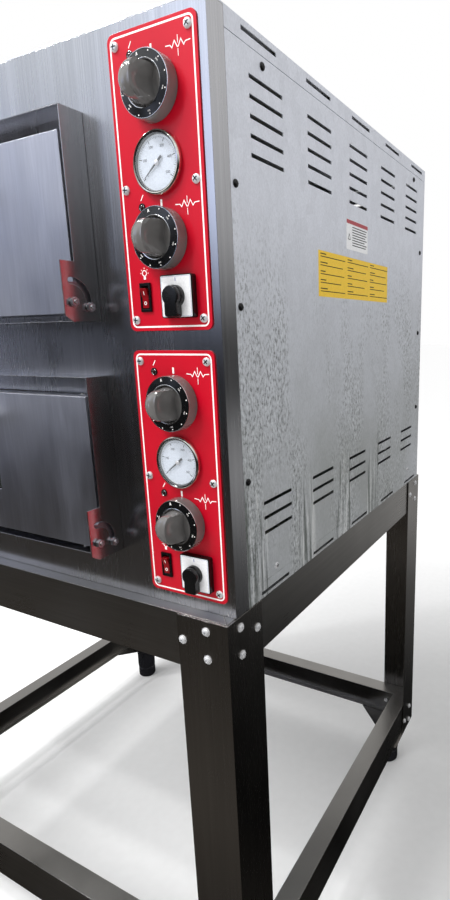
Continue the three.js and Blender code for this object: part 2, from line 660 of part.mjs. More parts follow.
function addDeck({ name, sillZ }) {
  add(cabinet, `${name}_chamber_liner`, chamberLiner(sillZ), chamberSteel);
  add(cabinet, `${name}_baking_stone`, bakingStone(sillZ), stone);
  for (const [place, height] of Object.entries(ELEMENT_HEIGHTS)) {
    add(cabinet, `${name}_${place}_element`, heatingElement(sillZ, height), elementMetal);
  }
  add(cabinet, `${name}_door_hood`, doorHood(sillZ), brushedSteel);
  add(cabinet, `${name}_door_outer`, doorOuter(sillZ), brushedSteel);
  add(cabinet, `${name}_door_inner`, doorInner(sillZ), chamberSteel);
  add(cabinet, `${name}_door_window`, doorWindow(sillZ), clearGlass);
  add(cabinet, `${name}_door_handle`, doorHandle(sillZ), brushedSteel);
}

function addControls({ name, panelZ }) {
  add(cabinet, `${name}_control_panel`, controlPanel(panelZ), redPanel);
  const place = (mesh, [x, z], y = 0) => mesh.position.set(PANEL_X + x, y, panelZ + z);
  for (const [zone, spot] of Object.entries(DIALS)) {
    place(add(cabinet, `${name}_${zone}_knob`, thermostatKnob(), greyPlastic), spot);
  }
  place(add(cabinet, `${name}_gauge`, gaugeBody(), whiteDial), GAUGE);
  place(add(cabinet, `${name}_gauge_needle`, gaugeNeedle(), blackPlastic), GAUGE);
  place(add(cabinet, `${name}_rocker_frame`, rockerFrame(), blackPlastic), ROCKER);
  place(add(cabinet, `${name}_rocker`, rockerCap(), redPlastic), ROCKER);
  place(add(cabinet, `${name}_cam_plate`, camPlate(), blackPlastic), CAM_SWITCH);
  place(add(cabinet, `${name}_cam_knob`, camKnob(), blackPlastic), CAM_SWITCH);
}

// A folded channel along X with its web on the -Y side, mitred at both ends.
function channel(length, height, topZ) {
  const profile = new THREE.Shape();
  profile.moveTo(0, topZ - height);
  profile.lineTo(CHANNEL_LIP, topZ - height);
  profile.lineTo(CHANNEL_LIP, topZ - height + CHANNEL_SHEET);
  profile.lineTo(CHANNEL_SHEET, topZ - height + CHANNEL_SHEET);
  profile.lineTo(CHANNEL_SHEET, topZ - CHANNEL_SHEET);
  profile.lineTo(CHANNEL_FLANGE, topZ - CHANNEL_SHEET);
  profile.lineTo(CHANNEL_FLANGE, topZ);
  profile.lineTo(0, topZ);
  const straight = plateYZ(profile, -length / 2, length / 2);
  const plan = new THREE.Shape();
  plan.moveTo(-length / 2, 0);
  plan.lineTo(length / 2, 0);
  plan.lineTo(length / 2 - CHANNEL_FLANGE - 1, CHANNEL_FLANGE + 1);
  plan.lineTo(-length / 2 + CHANNEL_FLANGE + 1, CHANNEL_FLANGE + 1);
  const mitre = new THREE.ExtrudeGeometry(plan, { depth: 2 * height, bevelEnabled: false })
    .translate(0, 0, topZ - 1.5 * height);
  return toGeometry(toSolid(straight).intersect(toSolid(mitre)));
}

// An angle leg for the -X -Y corner, on a welded triangular foot plate.
function leg() {
  const plateSide = 150;
  const plateTop = RAIL_TOP - RAIL_HEIGHT - GAP;
  const plateSheet = 3;
  const top = STAND_HEIGHT - 1;
  const plan = new THREE.Shape();
  plan.moveTo(0, 0);
  plan.lineTo(plateSide, 0);
  plan.lineTo(plateSide, 18);
  plan.lineTo(18, plateSide);
  plan.lineTo(0, plateSide);
  const plate = new THREE.ExtrudeGeometry(plan, { depth: plateSheet, bevelEnabled: false })
    .translate(0, 0, plateTop - plateSheet);
  return unite(
    plate,
    block([0, 0, plateTop - 1], [LEG_FLANGE, LEG_SHEET, top]),
    block([0, 0, plateTop - 1], [LEG_SHEET, LEG_FLANGE, top]),
  );
}

function levellingFoot() {
  const top = RAIL_TOP - RAIL_HEIGHT - GAP - 3 - GAP;
  const radius = FOOT_DIAMETER / 2;
  const profile = [[0, 0], [radius - 4, 0], [radius - 1, 6], [radius - 1, 34], [radius, 36],
    [radius, top], [0, top]];
  return new THREE.LatheGeometry(profile.map(([r, z]) => new THREE.Vector2(r, z)), 20).rotateX(Math.PI / 2);
}

// Each side of the stand: its name, its turn about Z, its length and its distance from the middle.
const STAND_SIDES = [
  ['front', 0, CABINET_WIDTH, STAND_DEPTH / 2],
  ['right', 90, STAND_DEPTH, HALF_WIDTH],
  ['rear', 180, CABINET_WIDTH, STAND_DEPTH / 2],
  ['left', 270, STAND_DEPTH, HALF_WIDTH],
];
const STAND_CORNERS = [
  ['front_left', 0, -1, -1],
  ['front_right', 90, 1, -1],
  ['rear_right', 180, 1, 1],
  ['rear_left', 270, -1, 1],
];

function addStand() {
  const inset = LEG_SHEET + GAP;
  for (const [name, turn, length, reach] of STAND_SIDES) {
    const angle = THREE.MathUtils.degToRad(turn);
    const runs = [['beam', BEAM_HEIGHT, STAND_HEIGHT], ['rail', RAIL_HEIGHT, RAIL_TOP]];
    for (const [kind, height, topZ] of runs) {
      const geometry = channel(length - 2 * inset - 2 * GAP, height, topZ);
      const mesh = add(stand, `stand_${name}_${kind}`, geometry, darkSteel);
      mesh.rotation.z = angle;
      mesh.position.set(Math.sin(angle) * (reach - inset), -Math.cos(angle) * (reach - inset), 0);
    }
  }
  for (const [name, turn, sx, sy] of STAND_CORNERS) {
    const corner = add(stand, `stand_${name}_leg`, leg(), darkSteel);
    corner.rotation.z = THREE.MathUtils.degToRad(turn);
    corner.position.set(sx * HALF_WIDTH, (sy * STAND_DEPTH) / 2, 0);
    const foot = add(stand, `stand_${name}_foot`, levellingFoot(), blackPlastic);
    foot.position.set(sx * (HALF_WIDTH - FOOT_INSET), sy * (STAND_DEPTH / 2 - FOOT_INSET), 0);
  }
}

addCabinet();
DECKS.forEach(addDeck);
DECKS.forEach(addControls);
addStand();

export default oven;
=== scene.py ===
"""Looks for a two-deck electric pizza oven on its bolted steel stand.

The doors face -Y and the control panels are on the +X side of the front. Lengths in the
tables are millimetres, and every piece is built in the CAD model's own frame.
"""

import json
import math

import bmesh
import bpy
from mathutils import Matrix, Vector


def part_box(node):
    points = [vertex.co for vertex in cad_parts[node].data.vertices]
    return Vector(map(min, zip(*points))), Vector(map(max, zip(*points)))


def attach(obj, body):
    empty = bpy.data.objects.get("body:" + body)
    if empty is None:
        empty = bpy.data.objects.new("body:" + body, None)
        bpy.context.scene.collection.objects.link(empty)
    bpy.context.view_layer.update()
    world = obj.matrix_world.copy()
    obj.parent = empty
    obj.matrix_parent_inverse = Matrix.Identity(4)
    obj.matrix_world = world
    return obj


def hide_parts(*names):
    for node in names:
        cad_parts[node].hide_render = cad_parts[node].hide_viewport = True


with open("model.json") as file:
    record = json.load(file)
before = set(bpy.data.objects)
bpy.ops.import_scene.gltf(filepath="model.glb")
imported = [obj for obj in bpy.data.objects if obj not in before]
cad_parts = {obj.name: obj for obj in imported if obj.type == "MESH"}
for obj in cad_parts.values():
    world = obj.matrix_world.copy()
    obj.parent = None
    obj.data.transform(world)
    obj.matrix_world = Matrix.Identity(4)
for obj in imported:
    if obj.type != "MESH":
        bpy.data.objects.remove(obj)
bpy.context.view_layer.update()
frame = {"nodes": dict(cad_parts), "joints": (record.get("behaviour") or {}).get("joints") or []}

MM = 0.001
DECKS = ("lower", "upper")
X, Y, Z = Vector((1, 0, 0)), Vector((0, 1, 0)), Vector((0, 0, 1))


def polar(radius, angle):
    return radius * math.cos(angle), radius * math.sin(angle)


def turns(count):
    """Angles evenly spaced round a circle."""
    return [2 * math.pi * i / count for i in range(count)]


def link(name, data):
    """A new object in the scene."""
    made = bpy.data.objects.new(name, data)
    bpy.context.scene.collection.objects.link(made)
    return made


def mesh_data(name, mesh):
    """A bmesh turned into mesh data, and freed."""
    data = bpy.data.meshes.new(name)
    mesh.to_mesh(data)
    mesh.free()
    return data


# ---- places on the oven
class Spot:
    """A place on a flat face: points are given across, up and out from it, in millimetres."""

    def __init__(self, origin, right, up=Z):
        self.origin = Vector(origin)
        self.right = Vector(right)
        self.up = Vector(up)
        self.out = self.right.cross(self.up)

    def at(self, across, up, out=0.0):
        return self.origin + (self.right * across + self.up * up + self.out * out) * MM

    def moved(self, across, up, out=0.0):
        return Spot(self.at(across, up, out), self.right, self.up)

    def turned(self, angle):
        """The same spot with its right and up turned anticlockwise by an angle in radians."""
        c, s = polar(1, angle)
        return Spot(self.origin, self.right * c + self.up * s, self.up * c - self.right * s)


def middle(node):
    low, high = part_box(node)
    return (low + high) / 2


def panel_spot(deck):
    """The middle of a deck's control panel, on its front face."""
    centre = middle(f"{deck}_control_panel")
    return Spot((centre.x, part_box(f"{deck}_control_panel")[0].y, centre.z), X)


def part_spot(deck, part):
    """A control's middle, on the front face of its panel."""
    panel = panel_spot(deck)
    centre = middle(f"{deck}_{part}")
    return Spot((centre.x, panel.origin.y, centre.z), X)


CABINET_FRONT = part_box("front_panel")[0].y
CABINET_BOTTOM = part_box("base_pan")[0].z
CABINET_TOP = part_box("top_cover")[1].z
RIGHT_FACE = Spot((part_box("right_side_panel")[1].x, CABINET_FRONT, CABINET_BOTTOM), Y)
LEFT_FACE = Spot((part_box("left_side_panel")[0].x, CABINET_FRONT, CABINET_BOTTOM), -Y)
REAR_FACE = Spot((0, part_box("rear_panel")[1].y, CABINET_BOTTOM), -X)
FIRST_SLOT = 0.176  # metres from the front to the side panels' first column of slots
SLOT_PITCH = 0.1562  # and on from each column to the next


# ---- finishes
def linear(red, green, blue):
    """A screen colour, 0 to 255, as the scene-linear colour that Blender's sockets hold."""
    return tuple((c / 255 / 12.92) if c <= 10 else ((c / 255 + 0.055) / 1.055) ** 2.4
                 for c in (red, green, blue)) + (1.0,)


class Finish:
    """A Principled material and short calls for the nodes that the finishes share."""

    def __init__(self, name, color, roughness, metallic=0.0, **constants):
        self.material = bpy.data.materials.new(name)
        self.material.use_nodes = True
        self.tree = self.material.node_tree
        self.shader = self.tree.nodes["Principled BSDF"]
        self.shader.inputs["Base Color"].default_value = color
        self.shader.inputs["Roughness"].default_value = roughness
        self.shader.inputs["Metallic"].default_value = metallic
        for socket, value in constants.items():
            self.shader.inputs[socket.replace("_", " ")].default_value = value
        self.place = self.add("ShaderNodeTexCoord", {}).outputs["Object"]
        self.normal = None  # the last relief, which the next one builds on

    def add(self, kind, sockets, **settings):
        node = self.tree.nodes.new(kind)
        for key, value in settings.items():
            setattr(node, key, value)
        for key, value in sockets.items():
            if isinstance(value, bpy.types.NodeSocket):
                self.tree.links.new(value, node.inputs[key])
            else:
                node.inputs[key].default_value = value
        return node

    def axis(self, letter):
        return self.add("ShaderNodeSeparateXYZ", {0: self.place}).outputs[letter]

    def noise(self, scale, detail=3.0, roughness=0.5, offset=(0.0, 0.0, 0.0)):
        """Noise whose scale along X, Y and Z is given in cycles per metre."""
        stretched = self.add("ShaderNodeVectorMath", {0: self.place, 1: scale, 2: offset},
                             operation="MULTIPLY_ADD").outputs[0]
        return self.add("ShaderNodeTexNoise", {"Vector": stretched, "Scale": 1.0,
                                               "Detail": detail, "Roughness": roughness}).outputs["Fac"]

    def cells(self, scale):
        """A colour for each cell of a Voronoi pattern, with its scale in cells per metre."""
        stretched = self.add("ShaderNodeVectorMath", {0: self.place, 1: scale},
                             operation="MULTIPLY").outputs[0]
        return self.add("ShaderNodeTexVoronoi", {"Vector": stretched, "Scale": 1.0}).outputs["Color"]

    def spread(self, value, low, high, to_low=0.0, to_high=1.0):
        """A value from low to high, spread over to_low to to_high and held there."""
        return self.add("ShaderNodeMapRange", {0: value, 1: low, 2: high, 3: to_low, 4: to_high},
                        clamp=True).outputs[0]

    def math(self, operation, a, b=0.0):
        return self.add("ShaderNodeMath", {0: a, 1: b}, operation=operation).outputs[0]

    def blend(self, factor, a, b):
        return self.add("ShaderNodeMix", {0: factor, 6: a, 7: b}, data_type="RGBA").outputs[2]

    def mottle(self, value, low, high, first, second):
        """The first colour where a value is low, and the second where it is high."""
        return self.blend(self.spread(value, low, high), first, second)

    def ramp(self, value, stops):
        node = self.add("ShaderNodeValToRGB", {0: value})
        elements = node.color_ramp.elements
        while len(elements) < len(stops):
            elements.new(0.5)
        for element, (place, color) in zip(elements, stops):
            element.position, element.color = place, color
        return node.outputs[0]

    def set_color(self, value):
        self.tree.links.new(value, self.shader.inputs["Base Color"])

    def set_roughness(self, value):
        self.tree.links.new(value, self.shader.inputs["Roughness"])

    def bump(self, height, distance, strength):
        """Adds relief: distance is in millimetres."""
        sockets = {"Height": height, "Distance": distance * MM, "Strength": strength}
        if self.normal is not None:
            sockets["Normal"] = self.normal
        self.normal = self.add("ShaderNodeBump", sockets).outputs[0]
        self.tree.links.new(self.normal, self.shader.inputs["Normal"])


def shade(color, factor):
    return tuple(c * factor for c in color[:3]) + (1.0,)


def brushed(name, color, roughness, grain, relief=0.006, contrast=0.10, smudge=0.4):
    """Satin-brushed sheet. Grain is the noise scale along X, Y and Z: low where the brush ran."""
    finish = Finish(name, color, roughness, 1.0)
    fine = finish.noise(grain, 4.0, 0.6)
    broad = finish.noise(tuple(g * 0.16 for g in grain), 2.0, 0.5, (7.0, 3.0, 1.0))
    cloud = finish.noise((5.0, 5.0, 3.5), 3.0, 0.55)
    toned = finish.mottle(fine, 0.3, 0.7, shade(color, 1 - contrast),
                         shade(color, 1 + contrast))
    toned = finish.blend(finish.spread(broad, 0.35, 0.65, 0.0, 0.45), toned, shade(color, 0.84))
    finish.set_color(toned)
    rough = finish.spread(fine, 0.25, 0.75, roughness * 0.88, roughness * 1.15)
    finish.set_roughness(finish.math("ADD", rough, finish.spread(cloud, 0.35, 0.7, 0.0,
                                                                 roughness * smudge)))
    # Folds and cut edges are slightly rounded, so they catch the light.
    finish.normal = finish.add("ShaderNodeBevel", {"Radius": 1.3 * MM}, samples=4).outputs[0]
    finish.bump(fine, relief, 0.35)
    return finish.material


def galvanised_sheet():
    """Zinc sheet: spangle, painted shade that darkens it towards the bottom in cloudy dull patches,
    rain-marked areas and drips above the base rim.
    """
    color = linear(222, 225, 234)
    finish = Finish("galvanised", color, 0.46, 0.35)
    height = finish.axis("Z")
    spangle = finish.cells((55.0, 55.0, 38.0))
    tone = finish.add("ShaderNodeSeparateXYZ", {0: spangle}).outputs[0]
    grain = finish.noise((520.0, 520.0, 300.0), 3.0, 0.6)
    cloud = finish.noise((3.2, 3.2, 2.6), 4.0, 0.6)
    zinc = finish.blend(finish.spread(tone, 0.0, 1.0, 0.0, 0.4), shade(color, 1.05), shade(color, 0.84))
    zinc = finish.blend(finish.spread(grain, 0.3, 0.7, 0.0, 0.4), zinc, shade(color, 0.70))
    # Painted shade: towards the bottom the sheet is blended into a darker green-grey, unevenly in cloudy
    # patches.
    low = finish.spread(height, CABINET_TOP - 0.20, CABINET_BOTTOM + 0.16)
    dull = finish.math("MULTIPLY", low, finish.spread(cloud, 0.30, 0.60, 0.55, 1.0))
    # Rain marks: short dark and pale flecks, thickest in patches of the lower two thirds.
    patch = finish.noise((9.0, 9.0, 2.6), 3.0, 0.55, (1.3, 2.6, 0.4))
    flecks = finish.noise((260.0, 260.0, 130.0), 3.0, 0.7, (3.0, 1.0, 2.0))
    where = finish.math("MULTIPLY", finish.spread(patch, 0.44, 0.60, 0.12, 1.0),
                        finish.spread(height, CABINET_TOP - 0.18, CABINET_TOP - 0.36))
    mark = finish.math("MULTIPLY", where, finish.spread(flecks, 0.52, 0.62))
    pale = finish.math("MULTIPLY", where, finish.spread(flecks, 0.46, 0.36))
    # Drips that ran down past the lower slots, each of its own length, between their columns.
    drip = finish.noise((120.0, 120.0, 5.0), 3.0, 0.7, (0.0, 0.0, 5.0))
    along = finish.math("SUBTRACT", finish.axis("Y"), CABINET_FRONT + FIRST_SLOT)
    turn = finish.math("FRACT", finish.math("DIVIDE", along, SLOT_PITCH))
    group = finish.math("MULTIPLY", finish.spread(turn, 0.46, 0.40), finish.spread(along, 0.50, 0.30))
    reach = finish.spread(finish.noise((60.0, 60.0, 0.4), 2.0), 0.32, 0.68, 0.03, 0.17)
    above_rim = finish.math("SUBTRACT", height, CABINET_BOTTOM + 0.024)
    run = finish.spread(finish.math("SUBTRACT", above_rim, reach), 0.015, -0.02)
    run = finish.math("MULTIPLY", run, group)
    dark_run = finish.math("MULTIPLY", run, finish.spread(drip, 0.52, 0.58))
    white_run = finish.math("MULTIPLY", run, finish.spread(drip, 0.47, 0.42))
    # The first tint is that painted shade; the others are rain marks and drips.
    for cover, share, tint in ((dull, 0.85, (150, 153, 150)), (mark, 0.72, (84, 88, 84)),
                               (pale, 0.5, (232, 236, 238)), (dark_run, 0.8, (84, 90, 84)),
                               (white_run, 0.5, (234, 236, 234))):
        zinc = finish.blend(finish.math("MULTIPLY", cover, share), zinc, linear(*tint))
    finish.set_color(zinc)
    finish.set_roughness(finish.spread(grain, 0.2, 0.8, 0.34, 0.56))
    finish.bump(tone, 0.03, 0.3)
    finish.bump(finish.math("ADD", grain, mark), 0.05, 0.5)
    finish.bump(cloud, 2.0, 0.12)
    return finish.material


def enamel_red():
    color = linear(186, 4, 32)
    finish = Finish("panel_red", color, 0.30, 0.0, Specular_IOR_Level=0.35)
    cloud = finish.noise((9.0, 9.0, 6.0), 3.0)
    peel = finish.noise((900.0, 900.0, 900.0), 2.0)
    finish.set_color(finish.mottle(cloud, 0.3, 0.7, shade(color, 0.9), color))
    finish.set_roughness(finish.spread(peel, 0.3, 0.7, 0.28, 0.34))
    finish.bump(peel, 0.01, 0.25)
    return finish.material


def moulded(name, color, roughness, relief=0.03, scratch=0.15, **constants):
    """Moulded plastic: fine texture, small tone changes and a few dull scuffs."""
    finish = Finish(name, color, roughness, 0.0, **constants)
    grain = finish.noise((700.0, 700.0, 700.0), 3.0, 0.6)
    cloud = finish.noise((28.0, 28.0, 28.0), 3.0, 0.6)
    finish.set_color(finish.mottle(cloud, 0.35, 0.7, shade(color, 1.08), shade(color, 0.85)))
    rough = finish.spread(grain, 0.3, 0.7, roughness * 0.85, roughness * 1.15)
    finish.set_roughness(finish.math("ADD", rough, finish.spread(cloud, 0.5, 0.7, 0.0, scratch)))
    finish.bump(grain, relief, 0.5)
    return finish.material


def polished(name, color, roughness=0.14, metallic=1.0):
    """Bright plated steel with light wear."""
    finish = Finish(name, color, roughness, metallic)
    wear = finish.noise((160.0, 160.0, 160.0), 3.0, 0.6)
    finish.set_color(finish.mottle(wear, 0.4, 0.75, color, shade(color, 0.72)))
    finish.set_roughness(finish.spread(wear, 0.3, 0.8, roughness * 0.7, roughness * 1.9))
    finish.bump(wear, 0.02, 0.4)
    return finish.material


def printed(name, color, roughness=0.45):
    """Ink or paper: a slightly uneven cover."""
    finish = Finish(name, color, roughness)
    cover = finish.noise((420.0, 420.0, 420.0), 2.0, 0.6)
    finish.set_color(finish.mottle(cover, 0.35, 0.7, color, shade(color, 0.86)))
    finish.bump(cover, 0.02, 0.3)
    return finish.material


def refractory_stone():
    color = linear(201, 184, 150)
    finish = Finish("stone", color, 0.9)
    grit = finish.noise((320.0, 320.0, 320.0), 5.0, 0.7)
    scorch = finish.noise((7.0, 7.0, 7.0), 4.0, 0.6)
    toned = finish.mottle(grit, 0.35, 0.7, shade(color, 1.08), shade(color, 0.7))
    toned = finish.blend(finish.spread(scorch, 0.5, 0.75, 0.0, 0.6), toned, linear(92, 74, 56))
    finish.set_color(toned)
    finish.bump(grit, 0.5, 0.7)
    return finish.material


def mineral_wool():
    color = linear(190, 178, 134)
    finish = Finish("wool", color, 1.0)
    strands = finish.noise((60.0, 420.0, 420.0), 5.0, 0.75)
    finish.set_color(finish.mottle(strands, 0.35, 0.65, shade(color, 1.1), shade(color, 0.6)))
    finish.bump(strands, 2.0, 0.8)
    return finish.material


def heat_tinted(name, color, roughness):
    """Steel that has been hot: straw and blue oxide clouds over a dull base."""
    finish = Finish(name, color, roughness, 0.9)
    cloud = finish.noise((8.0, 8.0, 8.0), 4.0, 0.6)
    grain = finish.noise((300.0, 300.0, 300.0), 3.0, 0.6)
    toned = finish.ramp(cloud, [(0.32, color), (0.52, linear(150, 128, 92)), (0.7, linear(86, 88, 104))])
    toned = finish.blend(finish.spread(grain, 0.3, 0.7, 0.0, 0.35), toned, shade(color, 0.5))
    finish.set_color(toned)
    finish.set_roughness(finish.spread(grain, 0.3, 0.7, roughness * 0.8, min(1.0, roughness * 1.2)))
    finish.bump(grain, 0.05, 0.5)
    return finish.material


def clear_glass(name, color, alpha):
    finish = Finish(name, color, 0.04, 0.0, Alpha=alpha, Coat_Weight=0.6, Coat_Roughness=0.03)
    film = finish.noise((30.0, 30.0, 12.0), 3.0, 0.6)
    finish.set_roughness(finish.spread(film, 0.4, 0.75, 0.03, 0.12))
    return finish.material


UPRIGHT_X = (430.0, 430.0, 5.0)  # grain along Z
ALONG_XY = (7.0, 7.0, 520.0)  # grain along the sheet's length, level
FINISH = {
    "front": brushed("steel_front", linear(200, 200, 203), 0.20, UPRIGHT_X, 0.02, 0.10, 0.7),
    "door": brushed("steel_door", linear(205, 206, 214), 0.34, (300.0, 300.0, 16.0), 0.02, 0.08, 0.8),
    "hood": brushed("steel_hood", linear(196, 196, 200), 0.17, UPRIGHT_X, 0.015, 0.08, 0.6),
    "level": brushed("steel_level", linear(170, 167, 163), 0.26, ALONG_XY, 0.02, 0.10, 0.6),
    "upright": brushed("steel_upright", linear(158, 154, 149), 0.20, UPRIGHT_X, 0.02, 0.10, 0.6),
    "zinc": galvanised_sheet(),
    "chamber": heat_tinted("chamber_steel", linear(150, 142, 130), 0.5),
    "element": heat_tinted("element_steel", linear(74, 68, 62), 0.5),
    "red": enamel_red(),
    "grey": moulded("knob_grey", linear(98, 96, 95), 0.12, 0.004, 0.05, Coat_Weight=0.8,
                    Coat_Roughness=0.05),
    "black": moulded("plastic_black", linear(13, 13, 14), 0.2, 0.01),
    "rubber": moulded("foot_black", linear(34, 34, 38), 0.22, 0.02),
    "needle": moulded("needle_black", linear(24, 24, 26), 0.3, 0.0),
    "rocker": moulded("rocker_red", linear(122, 5, 16), 0.18, 0.01, 0.1, Coat_Weight=0.4),
    "lens": moulded("lamp_lens", linear(38, 20, 16), 0.06, 0.0, 0.05, Coat_Weight=0.8),
    "chrome": polished("chrome", linear(226, 226, 228)),
    "nickel": polished("nickel", linear(236, 232, 222), 0.10),
    "bolt": polished("bolt_steel", linear(240, 240, 242), 0.16, 0.5),
    "white": printed("ink_white", linear(250, 246, 244)),
    "ink": printed("ink_black", linear(16, 16, 20), 0.6),
    "dial": printed("dial_white", linear(196, 203, 214), 0.35),
    "card": printed("label_white", linear(236, 236, 238), 0.5),
    "yellow": printed("label_yellow", linear(243, 200, 36), 0.45),
    "header": printed("label_red", linear(176, 62, 72), 0.45),
    "blue": printed("ink_blue", linear(96, 104, 168)),
    "stone": refractory_stone(),
    "wool": mineral_wool(),
    "window": clear_glass("oven_glass", linear(46, 50, 52), 0.55),
    "lid": clear_glass("gauge_glass", linear(235, 240, 245), 0.07),
}


# ---- shapes
class Shape:
    """A mesh in the making. Every part is a closed shell, and a part has one finish."""

    def __init__(self):
        self.mesh = bmesh.new()
        self.finishes = []

    def index(self, finish):
        if finish not in self.finishes:
            self.finishes.append(finish)
        return self.finishes.index(finish)

    def loft(self, rings, finish, closed=False):
        """Faces between rings of as many points each: capped at both ends, or closed on itself."""
        index = self.index(finish)
        loops = [[self.mesh.verts.new(point) for point in ring] for ring in rings]
        count = len(rings[0])
        following = loops[1:] + ([loops[0]] if closed else [])
        faces = []
        for near, far in zip(loops, following):
            for i in range(count):
                j = (i + 1) % count
                faces.append(self.mesh.faces.new((near[i], near[j], far[j], far[i])))
        if not closed:
            faces.append(self.mesh.faces.new(loops[0]))
            faces.append(self.mesh.faces.new(loops[-1]))
        for face in faces:
            face.material_index = index

    def turn(self, spot, profile, finish, sides=48, closed=False):
        """A turned part round a spot's outward line. The profile's points are (radius, out)."""
        self.loft([[spot.at(*polar(radius, angle), out) for angle in turns(sides)]
                   for radius, out in profile], finish, closed)

    def slab(self, spot, outline, low, high, finish, edge=0.0, steps=3):
        """A plate from out=low to out=high. outline(inset) gives its points; edge rounds its front."""
        rings = [(0.0, low)]
        for step in range(steps + 1 if edge else 0):
            angle = math.pi / 2 * step / steps
            rings.append((edge * (1 - math.cos(angle)), high - edge * (1 - math.sin(angle))))
        if not edge:
            rings.append((0.0, high))
        self.loft([[spot.at(x, y, out) for x, y in outline(inset)] for inset, out in rings], finish)

    def ribbon(self, spot, points, width, low, high, finish, closed=False):
        """A flat stroke of even width along a line of points on the face."""
        sides = ([], [])
        count = len(points)
        for i, (x, y) in enumerate(points):
            before = points[i - 1] if i or closed else points[i]
            after = points[(i + 1) % count] if i + 1 < count or closed else points[i]
            into = Vector((x - before[0], y - before[1]))
            onward = Vector((after[0] - x, after[1] - y))
            into = (into if into.length else onward).normalized()
            onward = (onward if onward.length else into).normalized()
            along = (into + onward).normalized()
            reach = width / 2 / max(along.dot(into), 0.4)
            for side, sign in zip(sides, (1, -1)):
                side.append((x - sign * along.y * reach, y + sign * along.x * reach))
        sections = [[spot.at(*left, low), spot.at(*left, high), spot.at(*right, high), spot.at(*right, low)]
                    for left, right in zip(*sides)]
        self.loft(sections, finish, closed)

    def digits(self, spot, text, size, finish):
        """Plain generic numbers, standing 0.12 mm off the face."""
        curve = bpy.data.curves.new("number", "FONT")
        curve.body = text
        curve.size = size * MM
        curve.extrude = 0.06 * MM
        curve.resolution_u = 3
        curve.align_x, curve.align_y = "CENTER", "CENTER"
        holder = link("number", curve)
        graph = bpy.context.evaluated_depsgraph_get()
        flat = bpy.data.meshes.new_from_object(holder.evaluated_get(graph))
        basis = Matrix((spot.right, spot.up, spot.out)).transposed().to_4x4()
        basis.translation = spot.at(0, 0, 0.06)
        flat.transform(basis)
        first = len(self.mesh.faces)
        self.mesh.from_mesh(flat)
        self.mesh.faces.ensure_lookup_table()
        for face in self.mesh.faces[first:]:
            face.material_index = self.index(finish)
        bpy.data.objects.remove(holder)
        bpy.data.curves.remove(curve)
        bpy.data.meshes.remove(flat)

    def piece(self, name, body, replaces=(), smooth=32):
        """Finishes the mesh as a named piece on a CAD body."""
        bmesh.ops.recalc_face_normals(self.mesh, faces=self.mesh.faces)
        data = mesh_data(name, self.mesh)
        for finish in self.finishes:
            data.materials.append(FINISH[finish])
        for polygon in data.polygons:
            polygon.use_smooth = True
        data.set_sharp_from_angle(angle=math.radians(smooth))
        made = link(name, data)
        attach(made, body)
        if replaces:
            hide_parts(*replaces)
        return made


def rounded_rectangle(width, height, radius, per_corner=5):
    """An outline function for Shape.slab, centred on its spot."""
    def outline(inset=0.0):
        corner = max(radius - inset, 0.05)
        half_x, half_y = width / 2 - inset - corner, height / 2 - inset - corner
        points = []
        for i, (sx, sy) in enumerate(((1, -1), (1, 1), (-1, 1), (-1, -1))):
            for step in range(per_corner + 1):
                angle = math.pi / 2 * (i - 1 + step / per_corner)
                across, up = polar(corner, angle)
                points.append((sx * half_x + across, sy * half_y + up))
        return points
    return outline


def circle(radius, count=20):
    return [polar(radius, angle) for angle in turns(count)]


# ---- fasteners
def cross_screw(shape, spot, radius=5.6, finish="bolt"):
    """A pan-head screw with a black cross on its head: painted shade where the cross recess would be."""
    shape.turn(spot, [(radius, 0.0), (radius, radius * 0.16), (radius * 0.93, radius * 0.34),
                      (radius * 0.76, radius * 0.47), (radius * 0.5, radius * 0.54),
                      (radius * 0.1, radius * 0.56)], finish, 36)
    arm = radius * 0.62
    top = radius * 0.50
    # Painted shade: two black strips stand for the shadowed cross recess.
    for line in ([(-arm, 0), (arm, 0)], [(0, -arm), (0, arm)]):
        shape.ribbon(spot, line, radius * 0.24, top, radius * 0.60, "ink")


def domed_bolt(shape, spot, radius=5.4, height=4.2, finish="bolt"):
    """A round-headed bolt with a hexagon socket, on a thin washer."""
    washer = radius * 1.22
    shape.turn(spot, [(washer, 0.0), (washer, 0.9), (washer - 0.5, 1.2), (radius * 0.6, 1.2)], finish, 32)
    dome = [(radius, 1.0), (radius, 1.6)]
    dome += [(radius * math.cos(a), 1.6 + (height - 1.6) * math.sin(a))
             for a in (math.radians(d) for d in (18, 36, 52, 64))]
    socket = radius * 0.40
    shape.turn(spot, dome + [(socket, height - 0.1), (socket, height * 0.45), (socket * 0.3, height * 0.4)],
               finish, 30)


# ---- control panels
ZONES = ("roof", "floor")
LAMP_SPOTS = ((-32, 144.5), (-31, -22.5))
SYMBOL_SPOTS = ((39.5, 142.5), (39.5, -24.5))
GAUGE_ZERO = 218  # degrees, anticlockwise from the right
GAUGE_SWEEP = 256
INK = 0.16  # how far print stands off its face


